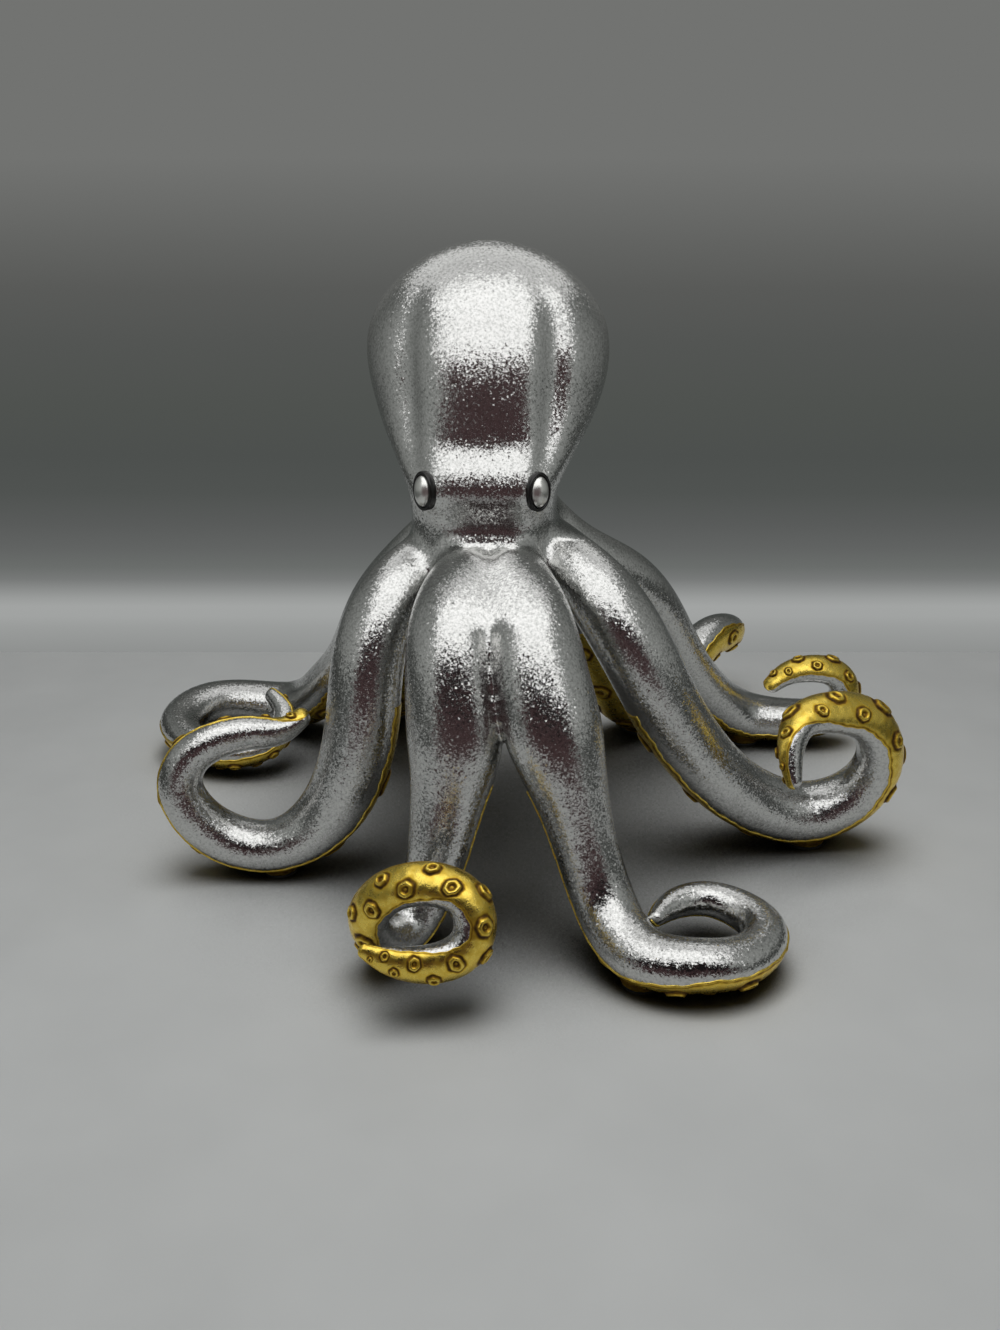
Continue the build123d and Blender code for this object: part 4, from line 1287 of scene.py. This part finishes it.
# painted shade: how far above the table a piece still darkens its colour
PAINTED_SHADE_REACH = 260.0     # how far above the table a piece still darkens it
FAR = 1500.0             # half the width of the table and of the wall


def stage_card(name, corners, material):
    obj = make_object(name, np.asarray(corners) - shift, [(0, 1, 2, 3)])
    obj.data.materials.append(material)
    return obj


def level_card(name, y_low, y_high, material):
    """A card on the floor, as wide as the stage."""
    return stage_card(name, [(-FAR, y_low, FLOOR_HEIGHT), (FAR, y_low, FLOOR_HEIGHT),
                             (FAR, y_high, FLOOR_HEIGHT), (-FAR, y_high, FLOOR_HEIGHT)], material)


def upright_card(name, x_range, y, z_range, material):
    """A card that stands across the stage."""
    (left, right), (low, high) = x_range, z_range
    return stage_card(name, [(left, y, low), (right, y, low), (right, y, high), (left, y, high)],
                      material)


def seen_only_by(obj, *rays):
    """Hides an object from every kind of ray but the named ones."""
    for ray in ("camera", "diffuse", "glossy", "transmission", "volume_scatter", "shadow"):
        setattr(obj, "visible_" + ray, ray in rays)


table_grey_and_shade, tree, shader = start_material("matt grey table", Base_Color=colour("#D2D4D3"),
                                            Roughness=0.6, IOR=1.45)
mottle = noise(tree, object_place(tree), 55.0, 3.0)
shade = ramp(tree, mottle, [(0.3, "#CFD1D0"), (0.7, "#D6D8D7")])
# painted shade: an ambient occlusion test darkens the table's colour and sheen where pieces stand
# over it
shade_under_pieces = add(tree, "ShaderNodeAmbientOcclusion", {"samples": 8, "Distance": PAINTED_SHADE_REACH * MM})
painted_shade_dim = ranged(tree, shade_under_pieces.outputs["AO"], 0.02, 1.0, 0.3, 0.75)
link(tree, shader, Base_Color=vector_step(tree, "SCALE", shade, Scale=painted_shade_dim),
     Specular_IOR_Level=maths(tree, "MULTIPLY", painted_shade_dim, 0.5))
level_card("table", TABLE_FRONT, BEND_START, table_grey_and_shade)


def glowing(name, coordinate, start, end, stops, clear_behind=False):
    """A material that glows with a ramp of colours along one coordinate, in millimetres."""
    material = bpy.data.materials.new(name)
    material.use_nodes = True
    material.cycles.emission_sampling = "NONE"
    tree = material.node_tree
    tree.nodes.clear()
    place = add(tree, "ShaderNodeSeparateXYZ", Vector=object_place(tree)).outputs[coordinate]
    shade = ramp(tree, ranged(tree, place, 0.0, 1.0, start * MM, end * MM), stops)
    surface = add(tree, "ShaderNodeEmission", Color=shade).outputs[0]
    if clear_behind:
        clear = add(tree, "ShaderNodeBsdfTransparent").outputs[0]
        behind = add(tree, "ShaderNodeNewGeometry").outputs["Backfacing"]
        surface = add(tree, "ShaderNodeMixShader", None, behind, surface, clear).outputs[0]
    add(tree, "ShaderNodeOutputMaterial", Surface=surface)
    return material


# painted light: the wall's glow darkens from its foot to about 80 mm up and lightens again to 250 mm
wall_glow = glowing("grey wall", "Z", 0, 250,
                      [(0.0, "#858786"), (0.018, "#777978"), (0.05, "#6A6D6B"), (0.10, "#616362"),
                       (0.16, "#595B5A"), (0.24, "#505351"), (0.33, "#4D504E"), (0.45, "#4F524F"),
                       (0.60, "#535553"), (0.72, "#595A58"), (0.82, "#626361"), (1.0, "#727371")],
                      clear_behind=True)
# painted light: the strip at the foot of the wall glows brighter than the table, for the bend of the
# card
bend_glow = glowing("bend at the foot of the wall", "Y", BEND_START, WALL_DISTANCE,
                      [(0.0, "#8F9190"), (0.18, "#959796"), (0.34, "#9A9C9B"), (0.50, "#A1A3A2"),
                       (0.66, "#A2A4A3"), (0.80, "#999B9A"), (0.90, "#8F9190"), (1.0, "#858786")])
wall = upright_card("wall", (-FAR, FAR), WALL_DISTANCE, (FLOOR_HEIGHT, WALL_HEIGHT), wall_glow)
foot = level_card("bend", BEND_START, WALL_DISTANCE, bend_glow)
for backdrop in (wall, foot):
    seen_only_by(backdrop, "camera", "glossy")
print("table and wall,", WALL_DISTANCE, "mm behind the middle")

# %% The light box
BOX_SIDE = 300.0
SIDE_FOOT = 90.0         # height of the dark part of the sides
BOX_FRONT = -292.0
BOX_HEIGHT = 440.0
OPENING_WIDTH = 470.0
OPENING_HEIGHT = 232.0
ROOM_DISTANCE = -1000.0


def lamp_panel(name, middle, size, direction, radiance, ray):
    """A rectangular lamp of the given radiance, for the glossy or the diffuse rays only."""
    data = bpy.data.lights.new(name, "AREA")
    data.shape = "RECTANGLE"
    data.size, data.size_y = (side * MM for side in size)
    data.energy = radiance * math.pi * data.size * data.size_y
    lamp = bpy.data.objects.new(name, data)
    lamp.location = Vector(middle) * MM
    lamp.rotation_euler = Vector(direction).to_track_quat("-Z", "Y").to_euler()
    lamp.visible_camera = False
    lamp.visible_glossy, lamp.visible_diffuse = ray == "glossy", ray == "diffuse"
    scene.collection.objects.link(lamp)


lamp_panel("ceiling front", (0, -170, BOX_HEIGHT), (560, 230), (0, 0, -1), 1.45, "glossy")
lamp_panel("ceiling back", (0, 120, BOX_HEIGHT), (560, 330), (0, 0, -1), 0.72, "glossy")
lamp_panel("front above opening", (0, BOX_FRONT, (OPENING_HEIGHT + BOX_HEIGHT) / 2),
           (600, BOX_HEIGHT - OPENING_HEIGHT), (0, 1, 0), 1.4, "glossy")
lamp_panel("table light", (-20, -150, BOX_HEIGHT - 10), (320, 300), (0, 0, -1), 1.3, "diffuse")
overhead = bpy.data.lights.new("light from above", "SUN")
overhead.energy = 1.15
overhead.angle = math.radians(40)
lamp = bpy.data.objects.new("light from above", overhead)
lamp.location = Vector((0, 0, 600)) * MM
lamp.visible_camera = lamp.visible_glossy = False
scene.collection.objects.link(lamp)

# painted light in the reflections: cards that glow for glossy rays alone. The sides are brighter
# towards the front and dark at their foot, the sides of the opening brighter upwards, and the room
# behind the camera a dim brownish glow
side_glow = glowing("side of the box", "Y", BOX_FRONT, WALL_DISTANCE,
                      [(0.0, "#A6A8A6"), (0.25, "#989A98"), (0.5, "#868886"), (0.75, "#6E706E"),
                       (1.0, "#5A5C5A")])
side_foot_glow = glowing("foot of the side", "Z", 0, SIDE_FOOT, [(0.0, "#2A2C2A"), (1.0, "#5A5C5A")])
opening_side_glow = glowing("side of the opening", "Z", 0, BOX_HEIGHT,
                       [(0.0, "#686A68"), (0.3, "#A0A2A0"), (0.53, "#B6B8B6")])
room_glow = glowing("dark room", "Z", -300, 900,
                      [(0.0, "#4C3C3D"), (0.45, "#4A3A3B"), (0.60, "#1E181A"), (1.0, "#070607")])
mirrored = [upright_card("room behind the camera", (-FAR, FAR), ROOM_DISTANCE, (-FAR, FAR),
                         room_glow)]
for sign, name in ((-1, "left side"), (1, "right side")):
    x = sign * BOX_SIDE
    for low, high, card_glow in ((0, SIDE_FOOT, side_foot_glow), (SIDE_FOOT, BOX_HEIGHT, side_glow)):
        mirrored.append(stage_card(name, [(x, BOX_FRONT, low), (x, WALL_DISTANCE, low),
                                          (x, WALL_DISTANCE, high), (x, BOX_FRONT, high)], card_glow))
    mirrored.append(upright_card(name + " of the opening", (x, sign * OPENING_WIDTH / 2),
                                 BOX_FRONT, (0, OPENING_HEIGHT), opening_side_glow))
for card in mirrored:
    seen_only_by(card, "glossy")

world = bpy.data.worlds.new("light box")
scene.world = world
world.use_nodes = True
tree = world.node_tree
background = tree.nodes["Background"]
background.inputs["Color"].default_value = colour("#2E2F2E")
background.inputs["Strength"].default_value = 1.0
seen = add(tree, "ShaderNodeBackground", {"Color": colour("#747573"), "Strength": 1.0})
camera_ray = add(tree, "ShaderNodeLightPath").outputs["Is Camera Ray"]
mix = add(tree, "ShaderNodeMixShader", None, camera_ray, background.outputs[0], seen.outputs[0])
tree.links.new(mix.outputs[0], tree.nodes["World Output"].inputs["Surface"])
print("light box ready")
